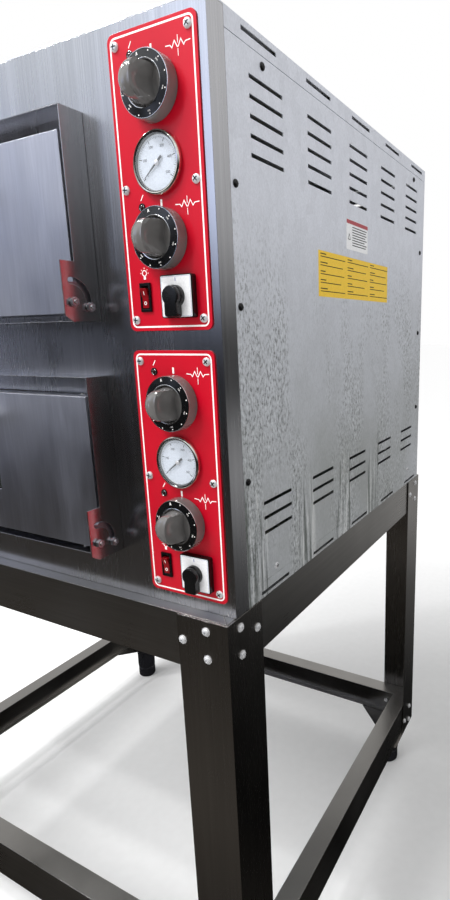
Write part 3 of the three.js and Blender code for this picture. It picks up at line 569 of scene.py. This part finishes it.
def panel_print(deck, panel):
    """White border, dial index marks, heat symbols, lamp strokes and a small bulb."""
    shape = Shape()

    def ink(spot, points, width, closed=False):
        shape.ribbon(spot, points, width, 0.0, INK, "white", closed)

    ink(panel, rounded_rectangle(123.4, 333.8, 6.5)(), 2.1, closed=True)
    for x, y in ((0, 146.2), (0, -20.3)):
        shape.slab(panel.moved(x, y), rounded_rectangle(2.8, 8.0, 0.4), 0.0, INK, "white")
    zigzag = [(-18, 0), (-11, -0.5), (-8.5, -3.4), (-4.6, 3.2), (-0.8, -3.6),
              (0.8, -3.6), (4.6, 3.2), (8.5, -3.4), (11, -0.5), (18, 0)]
    for x, y in SYMBOL_SPOTS:
        for points, width in ((zigzag, 1.05), ([(0, -13), (0, -5.5)], 0.8), ([(0, 0), (0, 8)], 0.8)):
            ink(panel.moved(x, y), points, width)
    for x, y in LAMP_SPOTS:
        ink(panel.moved(x, y), [(-1.6, 8.0), (2.6, 14.5)], 1.1)
    bulb = part_spot(deck, "rocker_frame").moved(-0.5, 30)
    ink(bulb, circle(3.4), 1.1, closed=True)
    shape.slab(bulb.moved(0, -5.6), rounded_rectangle(3.6, 4.4, 0.5), 0.0, INK, "white")
    for degrees in (0, 40, 90, 140, 180):
        ink(bulb, [polar(radius, math.radians(degrees)) for radius in (5.2, 7.0)], 0.8)
    shape.piece(f"{deck}_panel_print", "root")


def panel_screws(deck, panel):
    shape = Shape()
    for x in (-55, 55):
        for y in (-158, 0, 158):
            cross_screw(shape, panel.moved(x, y).turned(0.3 + 0.4 * x / 55 + y / 97), 5.6)
    shape.piece(f"{deck}_panel_screws", "root")


def pilot_lamps(deck, panel):
    """Two small neon lamps: a thin bright rim round a dark glass."""
    shape = Shape()
    for x, y in LAMP_SPOTS:
        spot = panel.moved(x, y)
        shape.turn(spot, [(5.0, 0.0), (5.0, 1.0), (4.7, 1.6), (4.2, 1.8), (3.8, 1.4), (3.8, 0.0)],
                   "black", 36, closed=True)
        shape.turn(spot, [(3.8, 0.2), (3.8, 1.3), (3.5, 1.6), (3.2, 1.3), (3.2, 0.2)],
                   "chrome", 36, closed=True)
        shape.turn(spot, [(3.2, 0.2), (3.2, 0.9), (2.6, 1.7), (1.6, 2.2), (0.5, 2.4)], "lens", 32)
    shape.piece(f"{deck}_pilot_lamps", "root")


def grip_reach(angle, level):
    """How far the grip's outline lies from its axis, at a level from 0 (foot) to 1 (dome).

    The grip is round, but its pointer side is scooped hollow for the thumb.
    """
    round_reach = 23.4 - 4.2 * level
    nearest, curve = 8.2 - 4.4 * level, 0.021 - 0.017 * level
    c, s = polar(1, angle)
    rest = c * c - 4 * curve * s * s * nearest
    if c <= 0.2 or rest < 0:
        return round_reach
    scoop = 2 * nearest / (c + math.sqrt(rest))
    return min(round_reach, scoop)


def knob(deck, zone):
    """A thermostat knob: skirt, scale seat, dished middle and a domed grip with a thumb scoop."""
    body, spot = f"{deck}_{zone}_dial", part_spot(deck, f"{zone}_knob")
    shape = Shape()
    shell = [(3, 0.5), (36.5, 0.5), (37.0, 1.1), (36.9, 3.0), (36.4, 15.0), (36.2, 15.8), (35.9, 16.2),
             (35.0, 16.3), (26.2, 17.6), (25.2, 17.7), (24.3, 17.2), (23.7, 14.0),
             (22.6, 12.4), (20.0, 11.4), (8, 10.0), (3, 10.0)]
    shape.turn(spot, shell, "grey", 96, closed=True)
    angles = turns(120)

    def dome(radius):
        return 33.0 + 10.8 * math.sqrt(max(1 - (radius / 19.9) ** 2, 0.0))

    rings = []
    for level in (0.0, 0.12, 0.3, 0.5, 0.7, 0.88, 1.0):
        ring = []
        for angle in angles:
            reach = grip_reach(angle, level)
            top = dome(grip_reach(angle, 1.0)) - 0.45
            ring.append(spot.at(*polar(reach, angle), 9 + (top - 9) * level))
        rings.append(ring)
    for share in (0.97, 0.92, 0.84, 0.72, 0.56, 0.4, 0.24, 0.1, 0.01):
        reaches = [share * grip_reach(angle, 1.0) for angle in angles]
        drop = 0.1 if share > 0.96 else 0
        rings.append([spot.at(*polar(reach, angle), dome(reach) - drop)
                      for reach, angle in zip(reaches, angles)])
    shape.loft(rings, "grey")
    shape.turn(spot, [(3, -14), (3, 9.5)], "grey", 24)
    shape.piece(f"{deck}_{zone}_knob_shell", body, [f"{deck}_{zone}_knob"], 22)

    scale = Shape()
    scale.turn(spot, [(35.0, 16.0), (35.0, 16.6), (25.8, 17.9), (25.8, 17.4)], "black", 96, closed=True)
    scale.turn(spot, [(36.0, 15.9), (36.0, 16.5), (35.7, 16.9), (35.2, 16.9), (34.9, 16.4)],
               "chrome", 96, closed=True)
    scale.turn(spot, [(25.9, 17.6), (25.8, 18.0), (25.4, 18.2), (24.9, 18.1), (24.7, 17.4)],
               "chrome", 96, closed=True)
    # The scale starts near the index mark and runs clockwise, one dot every 30 degrees.
    for step in range(11):
        angle = math.radians(90 + 12 - 30 * step)
        scale.turn(spot.moved(*polar(32.9, angle), 16.85), [(0.8, 0.0), (0.8, 0.15)], "white", 12)
        if step and step % 2 == 0:
            number = spot.moved(*polar(29.4, angle), 17.35).turned(angle - math.pi / 2)
            scale.digits(number, str(50 * step), 2.9, "white")
    zero = spot.moved(0, 0, 17.0).turned(math.radians(12))
    scale.ribbon(zero, [(-1.3, 29.6), (0, 32.4), (1.3, 29.6)], 0.9, 0.0, 0.3, "white", closed=True)
    scale.piece(f"{deck}_{zone}_scale_ring", body)


def gauge(deck):
    """A round thermometer: rolled bezel, sunk dial with generic numbers, a glass and a hand."""
    spot = part_spot(deck, "gauge")
    shape = Shape()
    shape.turn(spot, [(35.4, 0.3), (36.2, 1.2), (36.3, 3.4), (35.9, 5.2), (35.1, 6.4), (34.1, 6.9),
                      (33.0, 6.6), (32.4, 5.9), (32.2, 5.0), (31.2, 2.6), (31.2, 0.3)],
               "nickel", 96, closed=True)
    # Painted shade: a black ring on the bezel's inner slope, where the wall round the sunk dial falls in
    # shadow.
    shape.turn(spot, [(32.9, 6.0), (32.8, 6.5), (32.3, 6.3), (31.0, 3.4), (31.0, 2.6), (31.6, 2.6)],
               "black", 96, closed=True)
    shape.turn(spot, [(30.9, 2.4), (30.9, 3.1), (30.4, 3.1), (30.2, 2.4)], "nickel", 96, closed=True)
    shape.turn(spot, [(29, -34), (29, 2.0), (31.3, 2.0), (31.3, 2.5), (2.0, 2.5)], "dial", 96)
    shape.piece(f"{deck}_gauge_case", "root", [f"{deck}_gauge"])

    marks = Shape()
    face = spot.moved(0, 0, 2.52)
    for step in range(51):
        angle = math.radians(GAUGE_ZERO - GAUGE_SWEEP * step / 50)
        inner = 24.0 if step % 10 == 0 else 26.0 if step % 5 == 0 else 27.2
        width = 0.9 if step % 10 == 0 else 0.45
        marks.ribbon(face, [polar(inner, angle), polar(28.6, angle)], width, 0.0, 0.12, "ink")
        if step % 10 == 0:
            marks.digits(face.moved(*polar(19.6, angle)), str(10 * step), 4.6, "ink")
    marks.piece(f"{deck}_gauge_marks", "root")

    lid = Shape()
    lid.turn(spot, [(32.0, 5.5), (32.0, 5.9), (24, 6.3), (12, 6.5), (1, 6.6), (1, 6.3), (12, 6.2),
                    (24, 6.0)], "lid", 72, closed=True)
    lid.piece(f"{deck}_gauge_glass", "root")

    needle = Shape()
    hand = spot.moved(0, 0, 4.0).turned(math.radians(GAUGE_ZERO))
    outline = [(-10, -1.6), (-2, -1.5), (6, -1.1), (24.5, -0.25), (25.5, 0), (24.5, 0.25), (6, 1.1),
               (-2, 1.5), (-10, 1.6)]
    needle.slab(hand, lambda inset: outline, 0.0, 0.5, "needle")
    needle.turn(hand, [(3.2, -0.9), (3.2, 0.8), (2.6, 1.3), (1.4, 1.6), (0.3, 1.7)], "bolt", 36)
    needle.piece(f"{deck}_gauge_hand", f"{deck}_needle", [f"{deck}_gauge_needle"])


def cam_switch(deck):
    """A square cam switch: black frame, white face with a generic mark, and a paddle knob."""
    spot = part_spot(deck, "cam_plate")
    frame_shape = Shape()
    frame_shape.slab(spot, rounded_rectangle(50, 52, 3), 0.3, 9.0, "black", 0.8)
    frame_shape.piece(f"{deck}_cam_frame", "root", [f"{deck}_cam_plate"])
    face = Shape()
    face.slab(spot, rounded_rectangle(47, 49, 1.6), 8.6, 9.35, "card", 0.3)
    face.ribbon(spot, rounded_rectangle(45.0, 47.0, 1.0)(), 0.3, 9.3, 9.42, "blue", closed=True)
    face.ribbon(spot, [(0, 18.2), (0, 22.2)], 1.1, 9.3, 9.45, "blue")
    face.piece(f"{deck}_cam_face", "root")
    grip = Shape()
    grip.turn(spot, [(13.4, 9.6), (13.4, 15.2), (12.8, 16.2), (11.8, 16.4), (3, 16.4)], "black", 72)
    grip.turn(spot, [(3, -12), (3, 10)], "black", 24)

    def paddle(inset):
        """A round head of 25 mm and a 19 mm wide tail with rounded corners."""
        points = []
        for angle in turns(96):
            c, s = polar(1, angle)
            reach = 12.4
            if s < 0:
                tail = min(9.4 / max(abs(c), 1e-6), 24.8 / abs(s), 25.6)
                reach = max(reach, tail)
            points.append(polar(reach - inset, angle))
        return points

    grip.slab(spot, paddle, 12.0, 22.3, "black", 1.6, 5)
    grip.piece(f"{deck}_cam_paddle", f"{deck}_cam", [f"{deck}_cam_knob"], 40)


ROCKER_TILT = math.radians(9)


def rocker_marks(deck):
    """The stroke on the raised half of a rocker and the ring on its pressed half."""
    spot = part_spot(deck, "rocker_frame").moved(0, 0, -1.8)
    turn = Matrix.Rotation(ROCKER_TILT, 3, X)
    halves = []
    for sign in (1, -1):
        inner, outer = turn @ Vector((0, -4.6, 0)), turn @ Vector((0, -6.6, sign * 12.6))
        up = (outer - inner).normalized() * sign
        halves.append(Spot(spot.origin + (inner + outer) / 2 * MM, X, up))
    shape = Shape()
    shape.ribbon(halves[0], [(0, -2.4), (0, 2.4)], 0.9, 0.0, 0.15, "white")
    shape.ribbon(halves[1], circle(1.8), 0.8, 0.0, 0.15, "white", closed=True)
    shape.piece(f"{deck}_rocker_marks", f"{deck}_rocker_cap")


# ---- doors
def door_fittings(deck):
    """Domed heads on the hinge bolts, the door's edge screws and the hood's lip screws."""
    hood_low, hood_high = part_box(f"{deck}_door_hood")
    door_low, door_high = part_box(f"{deck}_door_outer")
    hinge = next(j for j in frame["joints"] if j["name"] == f"{deck}_door_hinge")
    pivot_y, pivot_z = hinge["pos_m"][1], hinge["pos_m"][2]
    guide = math.radians(-13)
    guide_reach = 26.7 * MM
    shape = Shape()
    for side in (1, -1):
        face = hood_high.x if side > 0 else hood_low.x
        right = Y * side
        for y, z in ((pivot_y, pivot_z), (pivot_y + guide_reach * math.cos(guide),
                                          pivot_z + guide_reach * math.sin(guide))):
            spot = Spot((face + side * 0.8 * MM, y, z), right)
            domed_bolt(shape, spot, 5.0, 6.6, "chrome")
    for x in (door_low.x + 0.045, (door_low.x + door_high.x) / 2, door_high.x - 0.045):
        cross_screw(shape, Spot((x, door_high.y - 0.006, door_high.z), X, Y), 3.6)
    shape.piece(f"{deck}_door_bolts", f"{deck}_door", smooth=34)
    lip = Shape()
    for x in (hood_low.x + 0.06, hood_high.x - 0.06):
        cross_screw(lip, Spot((x, hood_high.y - 0.018, hood_low.z + 1.5 * MM), X, Y), 3.4)
    lip.piece(f"{deck}_hood_screws", "root")


def door_handle(deck):
    """A round bar with two smooth bends that stand on the door's face, with collars."""
    low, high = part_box(f"{deck}_door_handle")
    radius = (high.z - low.z) / 2 / MM
    left, right = low.x + radius * MM, high.x - radius * MM
    front, back = low.y + radius * MM, high.y
    bend = 20 * MM
    z = (low.z + high.z) / 2
    path = [(Vector((left, back, z)), Vector((0, -1, 0)))]
    for corner_x, start in ((left + bend, 180), (right - bend, 270)):
        for step in range(13):
            angle = math.radians(start + 7.5 * step)
            across, ahead = polar(bend, angle)
            along = Vector((-math.sin(angle), math.cos(angle), 0))
            path.append((Vector((corner_x + across, front + bend + ahead, z)), along))
    path.append((Vector((right, back, z)), Vector((0, 1, 0))))
    shape = Shape()
    rings = []
    for point, along in path:
        across = along.cross(Z)
        rings.append([point + (across * math.cos(a) + Z * math.sin(a)) * radius * MM
                      for a in turns(32)])
    shape.loft(rings, "hood")
    for x in (left, right):
        collar = Spot((x, back, z), X)
        shape.turn(collar, [(radius + 0.1, 0.0), (radius + 3.5, 0.0), (radius + 3.5, 1.6),
                            (radius + 2.6, 2.4), (radius + 0.1, 2.6)], "chrome", 48, closed=True)
    shape.piece(f"{deck}_handle_bar", f"{deck}_door", [f"{deck}_door_handle"], 40)


# ---- cabinet
SIDE_SCREWS = ((113, 710), (42, 560), (760, 710), (821, 560), (42, 415), (821, 372), (42, 184),
               (110, 36), (760, 37), (821, 188))


def cabinet_screws():
    """Black screws round both side panels, bright ones low down, and bright ones at the back."""
    for name, face, sign in (("right", RIGHT_FACE, 1), ("left", LEFT_FACE, -1)):
        shape = Shape()
        for y, z in SIDE_SCREWS:
            cross_screw(shape, face.moved(sign * y, z), 5.0, "black" if z > 40 else "bolt")
        shape.piece(f"{name}_side_screws", "root")
    shape = Shape()
    low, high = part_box("rear_panel")
    half = (high.x - low.x) / 2 / MM - 12
    places = [(share * half, z) for share in (-1, -1 / 3, 1 / 3, 1) for z in (36, 710)]
    for x, z in places + [(-half, 373), (half, 373)]:
        cross_screw(shape, REAR_FACE.moved(x, z), 4.6)
    shape.piece("rear_screws", "root")


def bars(shape, spot, width, rows, pitch, thickness, lengths):
    """Rows of plain bars that stand where a label has lines of print."""
    for row in range(rows):
        length = width * lengths[row % len(lengths)]
        shape.ribbon(spot, [(0, -row * pitch), (length, -row * pitch)], thickness, 0.0, 0.1, "ink")


def side_labels():
    """Two stuck-on labels with plain bars: a white card and a yellow sheet of three columns."""
    white = RIGHT_FACE.moved(430, 547)
    shape = Shape()
    shape.slab(white, rounded_rectangle(100, 50, 1), 0.0, 0.2, "card")
    shape.slab(white.moved(0, 21), rounded_rectangle(99, 6.5, 0.6), 0.15, 0.3, "header")
    bars(shape, white.moved(-24, 13.5, 0.2), 68, 8, 4.3, 1.5, (1, 0.94, 0.98, 0.9, 1, 0.85))
    shape.ribbon(white, [(-43, -8), (-33, -8), (-38, 1)], 1.3, 0.15, 0.3, "ink", closed=True)
    shape.piece("white_label", "root")
    yellow = RIGHT_FACE.moved(430.5, 473)
    shape = Shape()
    shape.slab(yellow, rounded_rectangle(325, 71, 1), 0.0, 0.2, "yellow")
    for column in range(3):
        top = yellow.moved(-155 + 109 * column, 31, 0.2)
        bars(shape, top, 26, 5, 13.4, 1.6, (0.8, 1, 0.7))
        bars(shape, top.moved(0, -4.2), 98, 5, 13.4, 1.3, (1, 0.9, 0.96, 0.82))
    shape.piece("yellow_label", "root")


def gland():
    """The cable gland's nut and seal, turned with a fine ribbed grip."""
    centre = middle("cable_gland")
    spot = Spot((centre.x, REAR_FACE.origin.y, centre.z), -X)
    shape = Shape()
    nut = [(7, -10), (10, -10), (10, 0.3), (16.8, 0.3), (16.8, 5.6), (16.2, 6.4), (14, 6.8), (14, 9.6),
           (13.2, 10.4), (10.4, 13.4), (9.4, 14.0), (7.6, 14.0), (7, 13.4)]
    shape.turn(spot, nut, "rubber", 72, closed=True)
    for i in range(12):
        angle = i * math.pi / 6
        rib = spot.moved(*polar(15.2, angle)).turned(angle)
        shape.slab(rib, rounded_rectangle(2.6, 3.4, 0.8), 0.5, 7.4, "rubber", 0.5)
    shape.piece("gland_nut", "root", ["cable_gland"])


# ---- stand
LEG_LOW, LEG_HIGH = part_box("stand_front_right_leg")
STAND_FRONT, STAND_HALF, STAND_TOP = LEG_LOW.y, LEG_HIGH.x, LEG_HIGH.z
STAND_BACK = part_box("stand_rear_right_leg")[1].y
RAIL_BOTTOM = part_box("stand_front_rail")[0].z
CORNERS = (("front_left", -1, -1), ("front_right", 1, -1), ("rear_right", 1, 1), ("rear_left", -1, 1))
FRONT_BOLTS = ((36.5, 16), (78.5, 38), (36, 58.5))  # from the leg's corner, and down from its top
SIDE_BOLTS = ((30.5, 15.5), (73, 37), (32, 58.5))
LOWER_BOLT_DROP = 677  # the same three again on the lower rail
NUT_INSET = 5.1 * MM  # leg sheet, channel sheet and the gaps between them
PLATE_BOLT = 0.074  # metres in from both faces of the leg


def leg_bolt_spots(sx, sy, inset=0.0, facing=1):
    """The bolts' places on a leg's two faces: outside, or at an inset in metres facing inward."""
    edge = STAND_FRONT if sy < 0 else STAND_BACK
    across_x = Spot((sx * STAND_HALF, edge - sy * inset, STAND_TOP), X * -sy * facing)
    across_y = Spot((sx * (STAND_HALF - inset), edge, STAND_TOP), Y * sx * facing)
    for face, bolts, sign in ((across_x, FRONT_BOLTS, 1), (across_y, SIDE_BOLTS, -1)):
        for across, down in bolts:
            for drop in (0, LOWER_BOLT_DROP):
                yield face.moved(sign * facing * sx * sy * across, -down - drop)


def stand_bolts(name, sx, sy):
    """Three domed bolts on both faces of a leg, at the beam and again at the rail."""
    heads = Shape()
    for spot in leg_bolt_spots(sx, sy):
        domed_bolt(heads, spot)
    heads.piece(f"{name}_leg_bolts", "root", smooth=34)


def stand_nuts(name, sx, sy):
    """The nuts inside a leg, and a bolt through its corner plate."""
    nuts = Shape()
    for spot in leg_bolt_spots(sx, sy, NUT_INSET, -1):
        nuts.turn(spot, [(6.4, 0.0), (6.4, 4.2), (5.7, 4.8), (3.0, 4.8)], "bolt", 6)  # hexagon
        nuts.turn(spot, [(2.8, 0.0), (2.8, 6.6), (2.3, 7.0), (0.3, 7.0)], "bolt", 20)  # bolt's end
    edge = STAND_FRONT if sy < 0 else STAND_BACK
    plate = Vector((sx * (STAND_HALF - PLATE_BOLT), edge - sy * PLATE_BOLT, RAIL_BOTTOM - 0.3 * MM))
    domed_bolt(nuts, Spot(plate, X, Y))
    nuts.piece(f"{name}_leg_nuts", "root", smooth=34)


def foot(name):
    """A levelling foot: threaded stem cover, ribbed collar and a rounded pad."""
    node = f"stand_{name}_foot"
    low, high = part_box(node)
    spot = Spot((*middle(node).xy, 0), X, Y)
    radius = (high.x - low.x) / 2 / MM
    top = high.z / MM
    shape = Shape()
    profile = [(radius - 5, 0), (radius - 3.2, 0.5), (radius - 1.2, 3), (radius - 0.8, 6), (radius - 1.2, 32),
               (radius - 2.4, 33.5), (radius - 2.4, 35.5), (radius - 0.6, 37), (radius - 0.2, 39),
               (radius - 0.2, top - 6), (radius - 1.0, top - 3), (radius - 2.2, top)]
    shape.turn(spot, profile, "rubber", 72)
    shape.piece(f"{name}_foot_body", "root", [node])


# ---- CAD nodes
def soften(node, width, segments=2):
    """Rounds a folded sheet's edges so that they catch the light. The mesh itself stays."""
    made = frame["nodes"][node]
    weld = made.modifiers.new("weld", "WELD")
    weld.merge_threshold = 1e-5
    bevel = made.modifiers.new("edges", "BEVEL")
    bevel.width = width * MM
    bevel.segments = segments
    bevel.limit_method = "ANGLE"
    bevel.angle_limit = math.radians(50)
    bevel.use_clamp_overlap = True


CAD_FINISH = {kind: finish for finish, kinds in {
    "front": "front_panel", "hood": "door_hood door_handle", "door": "door_outer",
    "zinc": "right_side_panel left_side_panel rear_panel base_pan top_cover",
    "chamber": "chamber_liner door_inner", "stone": "baking_stone", "wool": "insulation_wool",
    "element": "floor_element roof_element", "window": "door_window", "red": "control_panel",
    "grey": "roof_knob floor_knob", "chrome": "gauge", "ink": "gauge_needle", "rocker": "rocker",
    "black": "rocker_frame cam_plate cam_knob", "level": "beam rail", "upright": "leg",
    "rubber": "foot cable_gland",
}.items() for kind in kinds.split()}
EDGES = {"front_panel": 0.6, "right_side_panel": 0.4, "left_side_panel": 0.4, "door_hood": 0.5,
         "door_outer": 0.5, "control_panel": 0.35, "rocker": 0.8, "rocker_frame": 0.5, "beam": 0.7,
         "rail": 0.7, "leg": 0.8, "top_cover": 0.5, "base_pan": 0.4}


def kind_of(node):
    """A node's name without its deck or its place on the stand."""
    for kind in sorted(CAD_FINISH, key=len, reverse=True):
        if node == kind or node.endswith("_" + kind):
            return kind
    raise KeyError(node)


def dress_cad():
    for name, made in frame["nodes"].items():
        kind = kind_of(name)
        made.data.materials.clear()
        made.data.materials.append(FINISH[CAD_FINISH[kind]])
        if kind in EDGES:
            soften(name, EDGES[kind])


# ---- studio
def flat_sheet(name, corners, material):
    mesh = bmesh.new()
    mesh.faces.new([mesh.verts.new(corner) for corner in corners])
    data = mesh_data(name, mesh)
    data.materials.append(material)
    made = link(name, data)
    return made


def glow_card(name, corners, across, bands, pools=()):
    """A sheet that only reflections see. Bands are (place along an axis, grey), and pools are soft
    spots of light: (centre in X and Z, radii, colour)."""
    glow = Finish(name, (0, 0, 0, 1), 1.0)
    letter, low, high = across
    value = glow.spread(glow.axis(letter), low, high)
    stops = [((place - low) / (high - low), color) for place, color in bands]
    color = glow.ramp(value, stops)
    for centre, radii, pool_color in pools:
        squares = []
        for axis, middle_at, radius in zip("XZ", centre, radii):
            offset = glow.math("DIVIDE", glow.math("SUBTRACT", glow.axis(axis), middle_at), radius)
            squares.append(glow.math("MULTIPLY", offset, offset))
        near = glow.spread(glow.math("ADD", *squares), 1.0, 0.0)
        near = glow.math("MULTIPLY", near, near)
        color = glow.blend(near, color, pool_color)
    glow.tree.links.new(color, glow.shader.inputs["Emission Color"])
    glow.shader.inputs["Emission Strength"].default_value = 1.0
    glow.shader.inputs["Specular IOR Level"].default_value = 0.0
    made = flat_sheet(name, corners, glow.material)
    made.visible_camera = made.visible_diffuse = made.visible_shadow = False
    made.visible_transmission = False


def grey(value, warm=0.0):
    return (value * (1 + warm), value, value * (1 - warm), 1.0)


def pale_floor():
    floor = Finish("studio_floor", linear(244, 244, 245), 0.85)
    speck = floor.noise((40.0, 40.0, 40.0), 3.0)
    floor.set_color(floor.blend(floor.spread(speck, 0.3, 0.7), linear(246, 246, 246), linear(249, 249, 249)))
    reach = 40.0
    ground = flat_sheet("floor", [(-reach, -reach, 0), (reach, -reach, 0), (reach, reach, 0),
                                  (-reach, reach, 0)], floor.material)
    ground.visible_glossy = False


def reflection_cards():
    """What the steel reflects: a floor that is dark near the oven, a front and a right side.

    The front is dark up to a person's height and bright above, with four window-like pools.
    """
    near, far, wall = -3.2, 12, 4.6
    glow_card("floor_card", [(-far, near, -0.02), (wall, near, -0.02), (wall, 9, -0.02), (-far, 9, -0.02)],
              ("Y", -3.0, 5.0),
              [(-3.0, grey(0.03, 0.1)), (-1.5, grey(0.05, 0.1)), (-0.9, grey(0.10, 0.1)),
               (-0.5, grey(0.03, 0.1)), (0.1, grey(0.004)), (0.8, grey(0.02)), (1.6, grey(0.12)),
               (2.6, grey(0.36)), (5.0, grey(0.4))])
    glow_card("front_card", [(-far, near, -0.02), (far, near, -0.02), (far, near, 6.5), (-far, near, 6.5)],
              ("Z", 0.0, 4.0),
              [(0.0, grey(0.02, 0.08)), (1.15, grey(0.008)), (1.7, grey(0.03)), (2.1, grey(0.14)),
               (2.7, grey(0.5, -0.04)), (3.2, grey(0.95, -0.06)), (4.0, grey(1.05, -0.04))],
              [((-1.45, 2.6), (0.7, 1.6), (1.7, 1.9, 2.5, 1.0)),
               ((-5.9, 0.75), (1.7, 1.3), (1.3, 1.4, 1.8, 1.0)),
               ((-4.3, 2.7), (0.75, 1.3), (1.4, 1.6, 2.4, 1.0)),
               ((-7.2, 3.2), (1.6, 1.3), (1.1, 1.35, 2.4, 1.0))])
    glow_card("side_card", [(wall, near, -0.02), (wall, far, -0.02), (wall, far, 8), (wall, near, 8)],
              ("Z", 0.0, 5.0),
              [(0.0, grey(0.01)), (1.2, grey(0.05)), (2.4, grey(0.5)), (4.4, grey(0.8)),
               (5.0, grey(0.8))])


def backdrop():
    """White surroundings that only the camera sees, round a world that lights everything softly."""
    white = Finish("studio_backdrop", (0, 0, 0, 1), 1.0, Specular_IOR_Level=0.0, Emission_Strength=1.0)
    white.shader.inputs["Emission Color"].default_value = (1.0, 1.0, 1.0, 1.0)
    mesh = bmesh.new()
    bmesh.ops.create_icosphere(mesh, subdivisions=3, radius=90)
    data = mesh_data("backdrop", mesh)
    data.materials.append(white.material)
    dome = link("backdrop", data)
    dome.visible_diffuse = dome.visible_glossy = dome.visible_shadow = False
    dome.visible_transmission = False
    world = bpy.data.worlds.new("studio")
    bpy.context.scene.world = world
    world.use_nodes = True
    sky = world.node_tree.nodes["Background"]
    sky.inputs["Color"].default_value = (1.0, 1.0, 1.0, 1.0)
    sky.inputs["Strength"].default_value = 0.6


def add_light(light, place, aim, power):
    light.energy = power
    made = link(light.name, light)
    made.location = place
    made.rotation_euler = (Vector(aim) - Vector(place)).to_track_quat("-Z", "Y").to_euler()
    return made


def lights():
    """A broad soft light from the front left, and small lamps for the highlights on the knobs."""
    sun = bpy.data.lights.new("window", "SUN")
    sun.angle = math.radians(40)
    add_light(sun, (0, 0, 0), (0.45, 0.55, -0.70), 2.2).visible_glossy = False
    for i, place in enumerate(((-0.8, -0.8, 3.0), (-0.45, -1.2, 3.1), (-1.3, -0.35, 2.9), (-0.1, -1.7, 3.2))):
        lamp = bpy.data.lights.new(f"spot_{i}", "AREA")
        lamp.shape = "RECTANGLE"
        lamp.size = lamp.size_y = 0.12
        add_light(lamp, place, (0.4, -0.4, 1.2), 16)


CAMERA_PLACE = (0.9438, -0.9636, 1.2509)
CAMERA_TURN = (27.908, 12.939, -1.089)  # yaw to the left, pitch down and roll, in degrees


def aim_camera():
    """The photograph's view: just right of the oven, close in, looking a little down."""
    data = bpy.data.cameras.new("camera")
    data.lens = 22.443
    data.sensor_width = 36.0
    data.shift_x, data.shift_y = -0.0878, 0.0094
    data.clip_start, data.clip_end = 0.02, 200
    made = link("camera", data)
    yaw, pitch, roll = (math.radians(angle) for angle in CAMERA_TURN)
    forward = Vector((-math.sin(yaw) * math.cos(pitch), math.cos(yaw) * math.cos(pitch), -math.sin(pitch)))
    level = Vector((math.cos(yaw), math.sin(yaw), 0))
    above = level.cross(forward)
    right = level * math.cos(roll) + above * math.sin(roll)
    up = above * math.cos(roll) - level * math.sin(roll)
    made.matrix_world = Matrix((right, up, -forward)).transposed().to_4x4()
    made.location = CAMERA_PLACE
    bpy.context.scene.camera = made


# ---- assembly
aim_camera()
dress_cad()
for deck_name in DECKS:
    front = panel_spot(deck_name)
    panel_print(deck_name, front)
    panel_screws(deck_name, front)
    pilot_lamps(deck_name, front)
    for zone_name in ZONES:
        knob(deck_name, zone_name)
    gauge(deck_name)
    cam_switch(deck_name)
    rocker_marks(deck_name)
    door_fittings(deck_name)
    door_handle(deck_name)
cabinet_screws()
side_labels()
gland()
for corner_name, side_x, side_y in CORNERS:
    stand_bolts(corner_name, side_x, side_y)
for corner_name, side_x, side_y in CORNERS:
    stand_nuts(corner_name, side_x, side_y)
    foot(corner_name)
pale_floor()
reflection_cards()
backdrop()
lights()
bpy.context.scene.view_settings.view_transform = "Standard"
